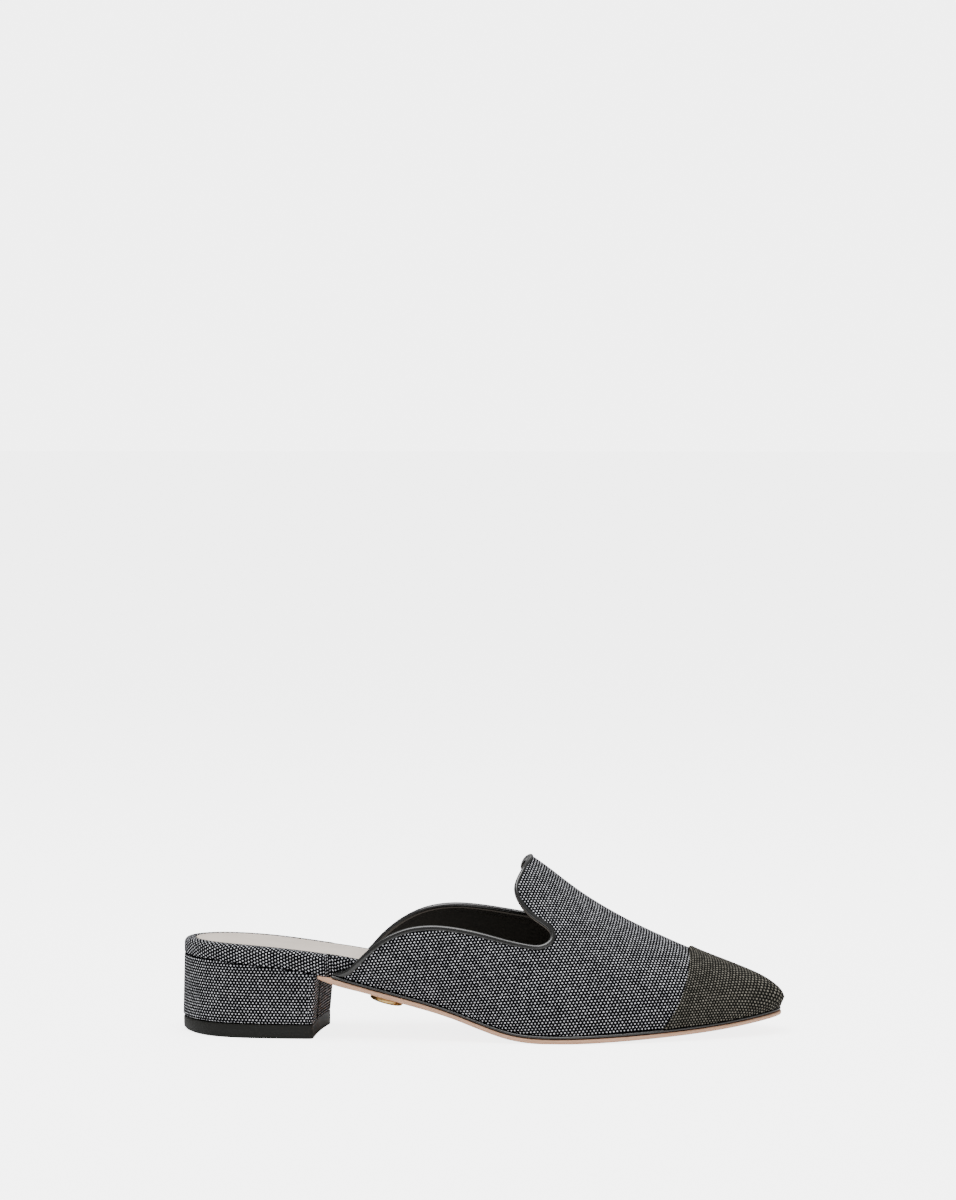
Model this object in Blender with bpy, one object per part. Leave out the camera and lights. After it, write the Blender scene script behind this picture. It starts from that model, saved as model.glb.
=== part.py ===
"""Cap-toe mule for the right foot: a slip-on shoe on a covered block heel.

The frame has its origin on the floor, at the middle of the heel tip's underside.
+X runs to the toe, +Z up and -Y to the outer (lateral) side. Lengths are metres.
Sections are read from short tables whose numbers are shares of the named sizes.
"""

import math

import bmesh
import bpy
import numpy as np
from mathutils import Matrix, Vector

NAME = "cap_toe_mule"

# Driving sizes
SHOE_LENGTH = 0.261
BALL_WIDTH = 0.078
INSTEP_HEIGHT = 0.077

# Places along the length, from the back of the heel
ORIGIN_ALONG = 0.031
ORIGIN_ACROSS = -0.003
BREAST_ALONG = 0.2284 * SHOE_LENGTH
BREAST_SLANT = 0.100
RIDGE_ACROSS = 0.003
FAN_FROM = 0.7854 * SHOE_LENGTH
POLE_BACK = 0.0517 * SHOE_LENGTH
CAP_SEAM_ALONG = 0.8410 * SHOE_LENGTH
CAP_SEAM_SWEEP = 0.0112
CAP_SEAM_BOW = 0.004
STUD_ALONG = 0.3410 * SHOE_LENGTH
TREAD_ALONG = (0.6000 * SHOE_LENGTH, 0.6502 * SHOE_LENGTH)
FOOTBED_STEP = (0.2406 * SHOE_LENGTH, 0.2444 * SHOE_LENGTH, 0.2483 * SHOE_LENGTH, 0.2521 * SHOE_LENGTH)
STUD_ACROSS = -0.007

# Thicknesses and gaps
GAP = 0.0003
SOLE_BELLY = 0.0024
RAND_HEIGHT = 0.0013
RAND_INSET = 0.0003
RAND_INNER = 0.0031
UPPER_INSET = 0.001
UPPER_WALL = 0.002
CAP_WALL = 0.0007
CAP_BED = 0.0006
BINDING_WIDTH = 0.0026
BINDING_SWELL = 0.00045
FOOTBED_INSET = 0.0034
FOOTBED_LEAN = 0.0018
SOCK_MARGIN = 0.0052
SOCK_SINK = 0.0015
SOCK_WALL = 0.001
TIP_HEIGHT = 0.0062
TIP_BEVEL = 0.0012
HEEL_FLARE = 0.0008
BREAST_RADIUS = 0.0022
BREAST_HOLLOW = 0.0008
STUD_RADIUS = 0.0073
STUD_DEPTH = 0.0024

# Outline of the sole from the back, round the lateral side and the toe, and home
# along the medial side: along in shares of the length, across in shares of the ball width
OUTLINE = (
    (0.0000, 0.010),
    (0.0130, -0.145),
    (0.0500, -0.288),
    (0.1150, -0.364),
    (0.2100, -0.384),
    (0.3250, -0.391),
    (0.4200, -0.408),
    (0.5170, -0.457),
    (0.6130, -0.497),
    (0.7010, -0.477),
    (0.7860, -0.404),
    (0.8740, -0.290),
    (0.9430, -0.170),
    (0.9850, -0.055),
    (0.9965, 0.038),
    (0.9830, 0.138),
    (0.9430, 0.238),
    (0.8740, 0.366),
    (0.7930, 0.468),
    (0.7010, 0.508),
    (0.6130, 0.468),
    (0.5170, 0.360),
    (0.4200, 0.260),
    (0.3250, 0.228),
    (0.2300, 0.236),
    (0.1340, 0.288),
    (0.0560, 0.262),
    (0.0140, 0.158),
)

# Side view of the sole: along, underside of the edge, top of the edge (the seam line
# that runs on under the footbed), top of the footbed; heights in shares of the instep
PROFILE = (
    ("along", "underside", "seam", "footbed"),
    (0.00, 0.440, 0.442, 0.540),
    (0.05, 0.436, 0.438, 0.537),
    (0.10, 0.422, 0.424, 0.529),
    (0.15, 0.404, 0.406, 0.517),
    (0.20, 0.382, 0.386, 0.500),
    (0.25, 0.318, 0.348, 0.478),
    (0.30, 0.272, 0.300, 0.449),
    (0.35, 0.228, 0.254, 0.405),
    (0.40, 0.183, 0.209, 0.345),
    (0.45, 0.132, 0.157, 0.276),
    (0.50, 0.070, 0.096, 0.202),
    (0.55, 0.018, 0.044, 0.142),
    (0.60, 0.000, 0.026, 0.108),
    (0.65, 0.000, 0.026, 0.097),
    (0.70, 0.006, 0.032, 0.098),
    (0.80, 0.024, 0.049, 0.113),
    (0.90, 0.052, 0.076, 0.138),
    (1.00, 0.100, 0.124, 0.182),
)

# Body of the upper: along, ridge height in shares of the instep, exponent of the
# section's curve, how far the wall swells past the feather in shares of the ball width,
# and how fast that swell falls off upwards
BODY = (
    ("along", "ridge", "fullness", "swell", "fall"),
    (0.25, 1.310, 2.00, 0.040, 4.0),
    (0.40, 1.270, 1.90, 0.038, 4.0),
    (0.50, 1.155, 1.80, 0.030, 4.0),
    (0.55, 1.057, 1.76, 0.024, 4.0),
    (0.60, 0.946, 1.74, 0.019, 3.8),
    (0.65, 0.817, 1.76, 0.016, 3.4),
    (0.70, 0.706, 1.82, 0.014, 3.0),
    (0.75, 0.613, 1.90, 0.014, 2.6),
    (0.80, 0.533, 2.00, 0.014, 2.3),
    (0.85, 0.459, 2.12, 0.016, 2.0),
    (0.90, 0.393, 2.30, 0.018, 1.7),
    (0.95, 0.326, 2.65, 0.020, 1.5),
    (1.00, 0.256, 3.40, 0.022, 1.3),
)

# Topline in side view, from the sole's edge up to the ridge: along in shares of the
# length, height in shares of the instep; 0 in the first row stands for the sole's edge
TOPLINE_LATERAL = (
    (0.255, 0.000),
    (0.276, 0.388),
    (0.294, 0.440),
    (0.313, 0.505),
    (0.337, 0.570),
    (0.362, 0.613),
    (0.387, 0.638),
    (0.421, 0.648),
    (0.457, 0.638),
    (0.500, 0.610),
    (0.542, 0.573),
    (0.578, 0.548),
    (0.599, 0.545),
    (0.612, 0.571),
    (0.613, 0.604),
    (0.606, 0.634),
    (0.591, 0.668),
    (0.572, 0.722),
    (0.559, 0.785),
    (0.554, 0.840),
    (0.557, 0.890),
    (0.566, 0.945),
    (0.577, 1.000),
)
TOPLINE_MEDIAL = (
    (0.255, 0.000),
    (0.278, 0.385),
    (0.300, 0.423),
    (0.320, 0.495),
    (0.343, 0.568),
    (0.367, 0.625),
    (0.400, 0.675),
    (0.436, 0.697),
    (0.465, 0.697),
    (0.500, 0.683),
    (0.540, 0.659),
    (0.580, 0.633),
    (0.602, 0.629),
    (0.616, 0.668),
    (0.618, 0.695),
    (0.610, 0.722),
    (0.601, 0.758),
    (0.586, 0.808),
    (0.573, 0.860),
    (0.562, 0.908),
    (0.563, 0.950),
    (0.570, 0.985),
    (0.577, 1.000),
)

# How columns of the upper's mesh run: share of the topline to share of the feather
COLUMNS = (
    (0.00, 0.00),
    (0.30, 0.21),
    (0.56, 0.41),
    (0.61, 0.47),
    (0.66, 0.63),
    (0.69, 0.75),
    (0.71, 0.79),
    (0.80, 0.88),
    (1.00, 1.00),
)

COLUMN_COUNT = 46
ROW_COUNT = 9
ROW_BUNCH = 1.7
RIB_COUNT = 600
HEEL_BACK_POINTS = 34


def column(table, name):
    """Return the places along and one named column of a table, as arrays."""
    index = table[0].index(name)
    rows = table[1:]
    return np.array([row[0] for row in rows]), np.array([row[index] for row in rows])


def smooth(knots, values, at):
    """Return a natural cubic curve through the values, run on straight past its ends."""
    count = len(knots)
    step = np.diff(knots)
    matrix = np.eye(count)
    right = np.zeros(count)
    for i in range(1, count - 1):
        matrix[i, i - 1] = step[i - 1]
        matrix[i, i] = 2.0 * (step[i - 1] + step[i])
        matrix[i, i + 1] = step[i]
        right[i] = 6.0 * ((values[i + 1] - values[i]) / step[i] - (values[i] - values[i - 1]) / step[i - 1])
    bend = np.linalg.solve(matrix, right)
    at = np.asarray(at, dtype=float)
    inside = np.clip(at, knots[0], knots[-1])
    i = np.clip(np.searchsorted(knots, inside) - 1, 0, count - 2)
    width = step[i]
    low = (knots[i + 1] - inside) / width
    high = 1.0 - low
    result = low * values[i] + high * values[i + 1]
    result = result + ((low ** 3 - low) * bend[i] + (high ** 3 - high) * bend[i + 1]) * width ** 2 / 6.0
    first = (values[1] - values[0]) / step[0] - step[0] * (2.0 * bend[0] + bend[1]) / 6.0
    last = (values[-1] - values[-2]) / step[-1] + step[-1] * (bend[-2] + 2.0 * bend[-1]) / 6.0
    return result + np.minimum(at - knots[0], 0.0) * first + np.maximum(at - knots[-1], 0.0) * last


def read(table, name, along):
    """Read one column of a table at places along the shoe given in metres."""
    knots, values = column(table, name)
    return smooth(knots, values, np.asarray(along) / SHOE_LENGTH)


def through(points, count, closed=False):
    """Return count points on a smooth curve through the given points."""
    points = np.array(points, dtype=float)
    total = len(points)
    if closed:
        points = np.vstack([points[-4:], points, points[:5]])
    gaps = np.linalg.norm(np.diff(points, axis=0), axis=1)
    knots = np.concatenate([[0.0], np.cumsum(np.sqrt(gaps))])
    start, end = (knots[4], knots[4 + total]) if closed else (knots[0], knots[-1])
    at = np.linspace(start, end, count, endpoint=not closed)
    return np.column_stack([smooth(knots, points[:, axis], at) for axis in range(points.shape[1])])


def spread(points, shares):
    """Return the points at given shares of a polyline's length."""
    points = np.asarray(points)
    gaps = np.linalg.norm(np.diff(points, axis=0), axis=1)
    length = np.concatenate([[0.0], np.cumsum(gaps)])
    at = np.asarray(shares) * length[-1]
    return np.column_stack([np.interp(at, length, points[:, axis]) for axis in range(points.shape[1])])


def underside_height(along):
    """Height of the sole edge's underside; the tread is flat at the ball."""
    return np.maximum(read(PROFILE, "underside", along), 0.0) * INSTEP_HEIGHT


def seam_height(along):
    """Height of the seam line on top of the outsole and of the heel block."""
    return read(PROFILE, "seam", along) * INSTEP_HEIGHT


def footbed_height(along, across):
    """Height of the footbed's top, which leans a little to the medial side at the heel."""
    lean = FOOTBED_LEAN * np.clip((0.110 - along) / 0.050, 0.0, 1.0)
    return read(PROFILE, "footbed", along) * INSTEP_HEIGHT - lean * (across / BALL_WIDTH + 0.35)


def whole_outline():
    """Return the sole's closed outline in plan, finely sampled, from the back."""
    points = np.array(OUTLINE) * (SHOE_LENGTH, BALL_WIDTH)
    return through(points, 2400, closed=True)


def inset(points, distance):
    """Move a closed outline inwards by a distance."""
    ahead = np.roll(points, -1, axis=0)
    behind = np.roll(points, 1, axis=0)
    tangent = ahead - behind
    tangent /= np.linalg.norm(tangent, axis=1)[:, None]
    return points + np.column_stack([-tangent[:, 1], tangent[:, 0]]) * np.asarray(distance).reshape(-1, 1)


def halves(points):
    """Split an outline at its back and tip into a lateral and a medial line, back first."""
    tip = int(np.argmax(points[:, 0]))
    back = int(np.argmin(points[:, 0]))
    turned = np.roll(points, -back, axis=0)
    tip = (tip - back) % len(points)
    lateral = turned[:tip + 1]
    medial = np.vstack([turned[tip:], turned[:1]])[::-1]
    return lateral, medial


class Skin:
    """The upper's outer surface: ribs that rise from the feather to the ridge.

    A spot on it is (rib, reach): rib counts from the back to the toe's tip, and reach
    is 0 on the ridge and 1 on the feather. In plan each rib is a straight line, and
    the ribs of the toe fan out from a pole just behind the tip.
    """

    def __init__(self):
        outline = inset(whole_outline(), UPPER_INSET)
        self.sides = {}
        for sign, line in zip((-1, 1), halves(outline)):
            line = spread(line, np.linspace(0.0, 1.0, RIB_COUNT + 1))
            along, across = line[:, 0], line[:, 1]
            tip = along[-1]
            push = np.clip((along - FAN_FROM) / (tip - FAN_FROM), 0.0, 1.0)
            ridge = along - POLE_BACK * push ** 3
            tangent = np.gradient(line, axis=0)
            tangent /= np.linalg.norm(tangent, axis=1)[:, None]
            normal = np.column_stack([-tangent[:, 1], tangent[:, 0]]) * (1 if sign > 0 else -1)
            self.sides[sign] = {
                "along": along,
                "across": across,
                "ridge": ridge,
                "normal": normal,
                "base": seam_height(along) + RAND_HEIGHT + 2.0 * GAP,
                "fullness": read(BODY, "fullness", along),
                "swell": read(BODY, "swell", along) * BALL_WIDTH,
                "fall": read(BODY, "fall", along),
            }

    def at(self, sign, rib, reach):
        """Return points of the surface for arrays of ribs and reaches on one side."""
        side = self.sides[sign]
        index = np.arange(RIB_COUNT + 1)
        rib = np.clip(rib, 0.0, RIB_COUNT)
        along, across, ridge, base, fullness, swell, fall = (
            np.interp(rib, index, side[key])
            for key in ("along", "across", "ridge", "base", "fullness", "swell", "fall"))
        normal = np.column_stack([np.interp(rib, index, side["normal"][:, axis]) for axis in (0, 1)])
        out = np.sin(np.clip(reach, 0.0, 1.0) * math.pi / 2.0)
        rise = np.maximum(1.0 - out ** fullness, 0.0) ** (1.0 / fullness)
        x = ridge + (along - ridge) * out
        y = RIDGE_ACROSS + (across - RIDGE_ACROSS) * out
        top = read(BODY, "ridge", x) * INSTEP_HEIGHT
        z = base + (top - base) * rise
        most = (fall / (1.0 + fall)) ** fall / (1.0 + fall)
        bulge = swell * rise * (1.0 - rise) ** fall / most
        return np.column_stack([x + normal[:, 0] * bulge, y + normal[:, 1] * bulge, z])

    def normals(self, sign, rib, reach):
        """Return outward unit normals of the surface."""
        held = np.clip(reach, 0.02, 1.0)
        along = self.at(sign, rib + 1.0, held) - self.at(sign, rib - 1.0, held)
        inward = self.at(sign, rib, held - 0.015) - self.at(sign, rib, held)
        normal = np.cross(along, inward) * (-sign)
        normal[:, 1] *= np.clip(np.asarray(reach) / 0.02, 0.0, 1.0)
        return normal / np.linalg.norm(normal, axis=1)[:, None]

    def plan(self, sign, rib, reach):
        """Unroll spots into the plan, where the ribs keep an even measure."""
        side = self.sides[sign]
        index = np.arange(RIB_COUNT + 1)
        along, across, ridge = (np.interp(rib, index, side[key]) for key in ("along", "across", "ridge"))
        return np.column_stack([ridge + (along - ridge) * reach,
                                RIDGE_ACROSS + (across - RIDGE_ACROSS) * reach])

    def spot(self, sign, points):
        """Find the rib and reach of points given in the unrolled plan."""
        side = self.sides[sign]
        foot = np.column_stack([side["along"], side["across"]])
        head = np.column_stack([side["ridge"], np.full(RIB_COUNT + 1, RIDGE_ACROSS)])
        ray = foot - head
        gap_x = points[:, None, 0] - head[None, :, 0]
        gap_y = points[:, None, 1] - head[None, :, 1]
        cross = (gap_x * ray[None, :, 1] - gap_y * ray[None, :, 0]) * sign
        ahead = cross > 0.0
        last = RIB_COUNT - 1 - np.argmax(ahead[:, -2::-1], axis=1)
        last = np.where(ahead[:, :-1].any(axis=1), last, 0)
        row = np.arange(len(points))
        low, high = cross[row, last], cross[row, last + 1]
        share = np.where(low > high, low / np.maximum(low - high, 1e-15), 0.0)
        rib = last + np.clip(share, 0.0, 1.0)
        index = np.arange(RIB_COUNT + 1)
        start = np.column_stack([np.interp(rib, index, head[:, 0]), np.interp(rib, index, head[:, 1])])
        end = np.column_stack([np.interp(rib, index, foot[:, 0]), np.interp(rib, index, foot[:, 1])])
        reach = np.linalg.norm(points - start, axis=1) / np.linalg.norm(end - start, axis=1)
        return rib, np.clip(reach, 0.0, 1.0)

    def side_view(self, sign, table, count):
        """Return the spots of a line given in side view by a table of along and height."""
        side = self.sides[sign]
        index = np.arange(RIB_COUNT + 1)
        points = np.array(table) * (SHOE_LENGTH, INSTEP_HEIGHT)
        rib = np.interp(points[:, 0], side["along"], index)
        base = np.interp(rib, index, side["base"])
        points[0, 1] = base[0]
        line = through(points, count)
        rib = np.interp(line[:, 0], side["along"], index)
        base, fullness = (np.interp(rib, index, side[key]) for key in ("base", "fullness"))
        top = read(BODY, "ridge", line[:, 0]) * INSTEP_HEIGHT
        rise = np.clip((line[:, 1] - base) / (top - base), 0.0, 1.0)
        out = (1.0 - rise ** fullness) ** (1.0 / fullness)
        reach = np.arcsin(np.clip(out, 0.0, 1.0)) * 2.0 / math.pi
        reach[0], reach[-1] = 1.0, 0.0
        return rib, reach

    def moved(self, sign, rib, reach, distance):
        """Move a line of spots across itself, over the surface and away from the opening."""
        here = self.at(sign, rib, reach)
        tangent = np.gradient(here, axis=0)
        if abs(reach[-1]) < 1e-9:
            tangent[-1, 0] = 0.0
            tangent[-1, 2] = 0.0
        normal = self.normals(sign, rib, reach)
        across = np.cross(tangent, normal) * (-sign)
        across /= np.linalg.norm(across, axis=1)[:, None]
        held = np.clip(reach, 0.02, 0.98)
        by_rib = (self.at(sign, rib + 1.0, held) - self.at(sign, rib - 1.0, held)) / 2.0
        by_reach = (self.at(sign, rib, held + 0.01) - self.at(sign, rib, held - 0.01)) / 0.02
        want = across * np.asarray(distance).reshape(-1, 1)
        a = np.sum(by_rib * by_rib, axis=1)
        b = np.sum(by_rib * by_reach, axis=1)
        c = np.sum(by_reach * by_reach, axis=1)
        p = np.sum(by_rib * want, axis=1)
        q = np.sum(by_reach * want, axis=1)
        size = a * c - b * b
        new_rib = rib + (p * c - q * b) / size
        new_reach = reach + (q * a - p * b) / size
        if abs(reach[-1]) < 1e-9:
            new_reach[-1] = 0.0
        return new_rib, new_reach


def placed(point):
    """Move a point from heel-back measure into the row's frame."""
    return Vector((point[0] - ORIGIN_ALONG, point[1] - ORIGIN_ACROSS, point[2]))


def material(name, colour, roughness, metallic=0.0):
    """Return a plain Principled material."""
    made = bpy.data.materials.new(name)
    made.use_nodes = True
    shader = made.node_tree.nodes["Principled BSDF"]
    shader.inputs["Base Color"].default_value = (*colour, 1.0)
    shader.inputs["Roughness"].default_value = roughness
    shader.inputs["Metallic"].default_value = metallic
    return made


def solid(name, vertices, faces, collection, look):
    """Make one closed object from points in heel-back measure."""
    mesh = bpy.data.meshes.new(name)
    mesh.from_pydata([placed(point) for point in vertices], [], [tuple(face) for face in faces])
    shape = bmesh.new()
    shape.from_mesh(mesh)
    bmesh.ops.remove_doubles(shape, verts=shape.verts, dist=2e-6)
    bmesh.ops.dissolve_degenerate(shape, edges=shape.edges, dist=2e-6)
    bmesh.ops.recalc_face_normals(shape, faces=shape.faces)
    if shape.calc_volume(signed=True) < 0.0:
        bmesh.ops.reverse_faces(shape, faces=shape.faces)
    shape.to_mesh(mesh)
    shape.free()
    mesh.materials.append(look)
    made = bpy.data.objects.new(name, mesh)
    collection.objects.link(made)
    return made


def sheet(name, outer, inner, collection, look):
    """Close two matching grids of points, arrays of (columns, rows, 3), into one wall."""
    columns, rows = outer.shape[:2]
    vertices = np.vstack([outer.reshape(-1, 3), inner.reshape(-1, 3)])
    shift = columns * rows
    faces = []

    def index(i, j):
        return i * rows + j

    for i in range(columns - 1):
        for j in range(rows - 1):
            loop = (index(i, j), index(i + 1, j), index(i + 1, j + 1), index(i, j + 1))
            faces.append(loop)
            faces.append(tuple(shift + corner for corner in reversed(loop)))
    for i in range(columns - 1):
        for j in (0, rows - 1):
            faces.append((index(i, j), index(i + 1, j), shift + index(i + 1, j), shift + index(i, j)))
    for i in (0, columns - 1):
        for j in range(rows - 1):
            faces.append((index(i, j), index(i, j + 1), shift + index(i, j + 1), shift + index(i, j)))
    return solid(name, vertices, faces, collection, look)


def rings(name, loops, pairs, collection, look, front=None):
    """Close stacked loops into one body; pairs tie the first and last loops across.

    front lists the points of a face that the ties leave open, such as a flat end.
    """
    count = len(loops[0])
    vertices = np.vstack(loops)
    faces = []
    for level in range(len(loops) - 1):
        low, high = level * count, (level + 1) * count
        for i in range(count):
            j = (i + 1) % count
            faces.append((low + i, low + j, high + j, high + i))
    for level in (0, len(loops) - 1):
        shift = level * count
        for a, b in zip(pairs[:-1], pairs[1:]):
            loop = []
            for corner in (a[0], b[0], b[1], a[1]):
                if shift + corner not in loop:
                    loop.append(shift + corner)
            if len(loop) > 2:
                faces.append(loop)
        if front:
            faces.append([shift + corner for corner in front])
    return solid(name, vertices, faces, collection, look)


def grid_on_skin(skin, sign, top, bottom, rows):
    """Return the spots of a grid whose columns run from a top line to a bottom line."""
    start = skin.plan(sign, *top)
    end = skin.plan(sign, *bottom)
    share = 1.0 - (1.0 - np.linspace(0.0, 1.0, rows)) ** ROW_BUNCH
    points = start[:, None, :] + (end - start)[:, None, :] * share[None, :, None]
    rib, reach = skin.spot(sign, points.reshape(-1, 2))
    shape = (len(start), rows)
    rib, reach = rib.reshape(shape), reach.reshape(shape)
    rib[:, 0], reach[:, 0] = top
    rib[:, -1], reach[:, -1] = bottom
    return rib, reach


def lifted(skin, sign, rib, reach, offset):
    """Return grid points moved off the surface by an offset for each spot."""
    flat_rib, flat_reach = rib.ravel(), reach.ravel()
    points = skin.at(sign, flat_rib, flat_reach)
    normals = skin.normals(sign, flat_rib, flat_reach)
    offset = np.broadcast_to(np.asarray(offset, dtype=float), rib.shape).reshape(-1, 1)
    moved = points + normals * offset
    base = np.interp(flat_rib, np.arange(RIB_COUNT + 1), skin.sides[sign]["base"])
    moved[:, 2] = np.where(flat_reach > 0.999, base, np.maximum(moved[:, 2], base))
    return moved.reshape(rib.shape + (3,))


def both_sides(skin, lines, offsets, rows):
    """Join the grids of both sides into one, from the lateral rear to the medial rear.

    Each offset is a function that gives the distance off the surface at places along.
    """
    grids = []
    for sign in (-1, 1):
        rib, reach = grid_on_skin(skin, sign, lines[sign][0], lines[sign][1], rows)
        along = skin.plan(sign, rib.ravel(), reach.ravel())[:, 0].reshape(rib.shape)
        levels = [lifted(skin, sign, rib, reach, offset(along)) for offset in offsets]
        grids.append(levels)
    joined = []
    for level in range(len(offsets)):
        lateral, medial = grids[0][level], grids[1][level]
        joined.append(np.vstack([lateral, medial[::-1][1:]]))
    return joined


def resampled(skin, sign, rib, reach, shares):
    """Space a line of spots evenly by its length in space, at given shares."""
    points = skin.at(sign, rib, reach)
    gaps = np.linalg.norm(np.diff(points, axis=0), axis=1)
    length = np.concatenate([[0.0], np.cumsum(gaps)])
    at = np.asarray(shares) * length[-1]
    return np.interp(at, length, rib), np.interp(at, length, reach)


def toplines(skin, count):
    """Return the spots of the finished topline on each side, sole's edge first."""
    tables = {-1: TOPLINE_LATERAL, 1: TOPLINE_MEDIAL}
    return {sign: skin.side_view(sign, tables[sign], count) for sign in (-1, 1)}


def topline_shares():
    """Shares of the topline at which the columns start, close together in the notch."""
    even = np.linspace(0.0, 1.0, COLUMN_COUNT)
    return np.interp(even, (0.0, 0.34, 0.74, 1.0), (0.0, 0.50, 0.73, 1.0))


def edge_columns(skin, sign, line, distance):
    """Return the spots where the columns meet a line run beside the topline.

    Each column keeps its place along the topline, save the first few: they close up
    where the moved line leaves the feather.
    """
    points = skin.at(sign, *line)
    gaps = np.linalg.norm(np.diff(points, axis=0), axis=1)
    length = np.concatenate([[0.0], np.cumsum(gaps)])
    order = np.arange(len(points))
    at = np.interp(topline_shares() * length[-1], length, order)
    rib, reach = skin.moved(sign, *line, distance) if distance > 0.0 else line
    first = int(np.nonzero(reach < 1.0)[0][0])
    if first > 1:
        leave = first - 1 + (reach[first - 1] - 1.0) / (reach[first - 1] - reach[first])
        at = at + leave * np.clip(1.0 - at / (3.0 * leave), 0.0, 1.0)
    rib, reach = np.interp(at, order, rib), np.interp(at, order, reach)
    reach[0], reach[-1] = 1.0, 0.0
    return rib, reach


def upper(skin, collection, look):
    """The cloth body: one hollow wall, open at the collar, the back and underneath."""
    lines = {}
    shares = topline_shares()
    knots = np.array(COLUMNS)
    for sign, line in toplines(skin, 400).items():
        top = edge_columns(skin, sign, line, BINDING_WIDTH + GAP)
        feather = np.linspace(top[0][0], RIB_COUNT, 900), np.ones(900)
        bottom = resampled(skin, sign, *feather, np.interp(shares, knots[:, 0], knots[:, 1]))
        lines[sign] = (top, bottom)
    def outside(along):
        return -CAP_BED * np.clip((along - CAP_SEAM_ALONG - 0.002) / 0.012, 0.0, 1.0)

    def inside(along):
        return np.full_like(along, -UPPER_WALL)

    outer, inner = both_sides(skin, lines, (outside, inside), ROW_COUNT)
    return sheet("upper", outer, inner, collection, look)


def topline_binding(skin, collection, look):
    """The bound edge of the opening: a flat bead over the cut edge of the upper."""
    lines = {}
    for sign, line in toplines(skin, 400).items():
        lines[sign] = (edge_columns(skin, sign, line, 0.0), edge_columns(skin, sign, line, BINDING_WIDTH))
    bead = np.array([-0.35, 0.65, 1.0, 0.65, 0.0]) * BINDING_SWELL

    def outside(along):
        return np.broadcast_to(bead, along.shape)

    def inside(along):
        return -UPPER_WALL - outside(along)

    outer, inner = both_sides(skin, lines, (outside, inside), len(bead))
    return sheet("topline_binding", outer, inner, collection, look)


def cap_seam(skin, sign, count):
    """Return the spots of the toe cap's straight edge, from the feather to the ridge."""
    side = skin.sides[sign]
    index = np.arange(RIB_COUNT + 1)
    rib = np.linspace(0.0, RIB_COUNT, 1200)
    along = np.interp(rib, index, side["along"])
    across = np.interp(rib, index, side["across"])
    reach_out = np.abs(across - RIDGE_ACROSS)
    share = np.linspace(1.0, 0.0, count)
    foot = along - CAP_SEAM_ALONG + CAP_SEAM_SWEEP
    start = np.interp(0.0, foot, reach_out)
    y = RIDGE_ACROSS + sign * start * share
    x = CAP_SEAM_ALONG + CAP_SEAM_BOW * share * (1.0 - share) - CAP_SEAM_SWEEP * share ** 2.5
    return skin.spot(sign, np.column_stack([x, y]))


def toe_cap(skin, collection, look):
    """The cap: a skin laid over the toe of the upper, its back edge a seam."""
    lines = {}
    shares = np.linspace(0.0, 1.0, 20)
    for sign in (-1, 1):
        rib, reach = cap_seam(skin, sign, 200)
        reach[0] = 1.0
        top = resampled(skin, sign, rib, reach, shares)
        feather = np.linspace(rib[0], RIB_COUNT, 400), np.ones(400)
        bottom = resampled(skin, sign, *feather, shares)
        lines[sign] = (top, bottom)
    def outside(along):
        return np.full_like(along, GAP + CAP_WALL)

    def inside(along):
        return np.full_like(along, GAP)

    outer, inner = both_sides(skin, lines, (outside, inside), 8)
    return sheet("toe_cap", outer, inner, collection, look)


def paired_outline(points, start, count, extra=()):
    """Sample an outline at shared places along it, with ties across from side to side.

    start gives the first place along for the lateral and the medial side; None keeps
    the rounded back. Samples bunch where the outline turns; extra adds some places.
    """
    lateral, medial = halves(points)
    share = np.linspace(0.0, 1.0, count)
    sides = []
    for line, place in zip((lateral, medial), start or (None, None)):
        tip = line[-1, 0]
        if place is None:
            along = line[0, 0] + (tip - line[0, 0]) * (1.0 - np.cos(math.pi * share)) / 2.0
        else:
            along = place + (tip - place) * np.sin(math.pi / 2.0 * share)
        along = np.sort(np.concatenate([along, extra]))
        sides.append(np.column_stack([along, np.interp(along, line[:, 0], line[:, 1])]))
    count = len(sides[0])
    if start is None:
        loop = np.vstack([sides[0], sides[1][-2:0:-1]])
        total = len(loop)
        ties = [(i, (total - i) % total) for i in range(count)]
    else:
        loop = np.vstack([sides[0], sides[1][-2::-1]])
        total = len(loop)
        ties = [(i, total - 1 - i) for i in range(count)]
    return loop, ties


def breast_line(across):
    """Place along of the heel's breast at places across; its medial end lies ahead."""
    return BREAST_ALONG + BREAST_SLANT * (np.asarray(across) + 0.030)


def outsole(collection, look):
    """The leather sole from the breast to the toe, with a full waist underneath."""
    outline = whole_outline()
    lateral, medial = halves(outline)
    first = []
    for line in (lateral, medial):
        gap = line[:, 0] - breast_line(line[:, 1]) - 2.0 * GAP
        ahead = np.nonzero(gap > 0.0)[0][0]
        first.append(line[ahead, 0])
    loops = []
    steps = (
        ("inset", "depth", "belly"),
        (0.0009, 0.00, 0.0),
        (0.0000, 0.18, 0.0),
        (0.0000, 0.72, 0.0),
        (0.0009, 1.00, 0.0),
        (0.0060, 1.00, 0.45),
        (0.0130, 1.00, 0.90),
    )
    ties = None
    for distance, depth, belly in steps[1:]:
        loop, ties = paired_outline(inset(outline, distance), first, 40, TREAD_ALONG)
        x, y = loop[:, 0], loop[:, 1]
        top = seam_height(x)
        sink = (top - underside_height(x)) * depth
        hump = np.clip(np.sin(np.clip((x / SHOE_LENGTH - 0.22) / 0.33, 0.0, 1.0) * math.pi), 0.0, 1.0)
        z = top - sink - belly * SOLE_BELLY * hump
        loops.append(np.column_stack([x, y, z]))
    return rings("outsole", loops, ties, collection, look)


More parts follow.
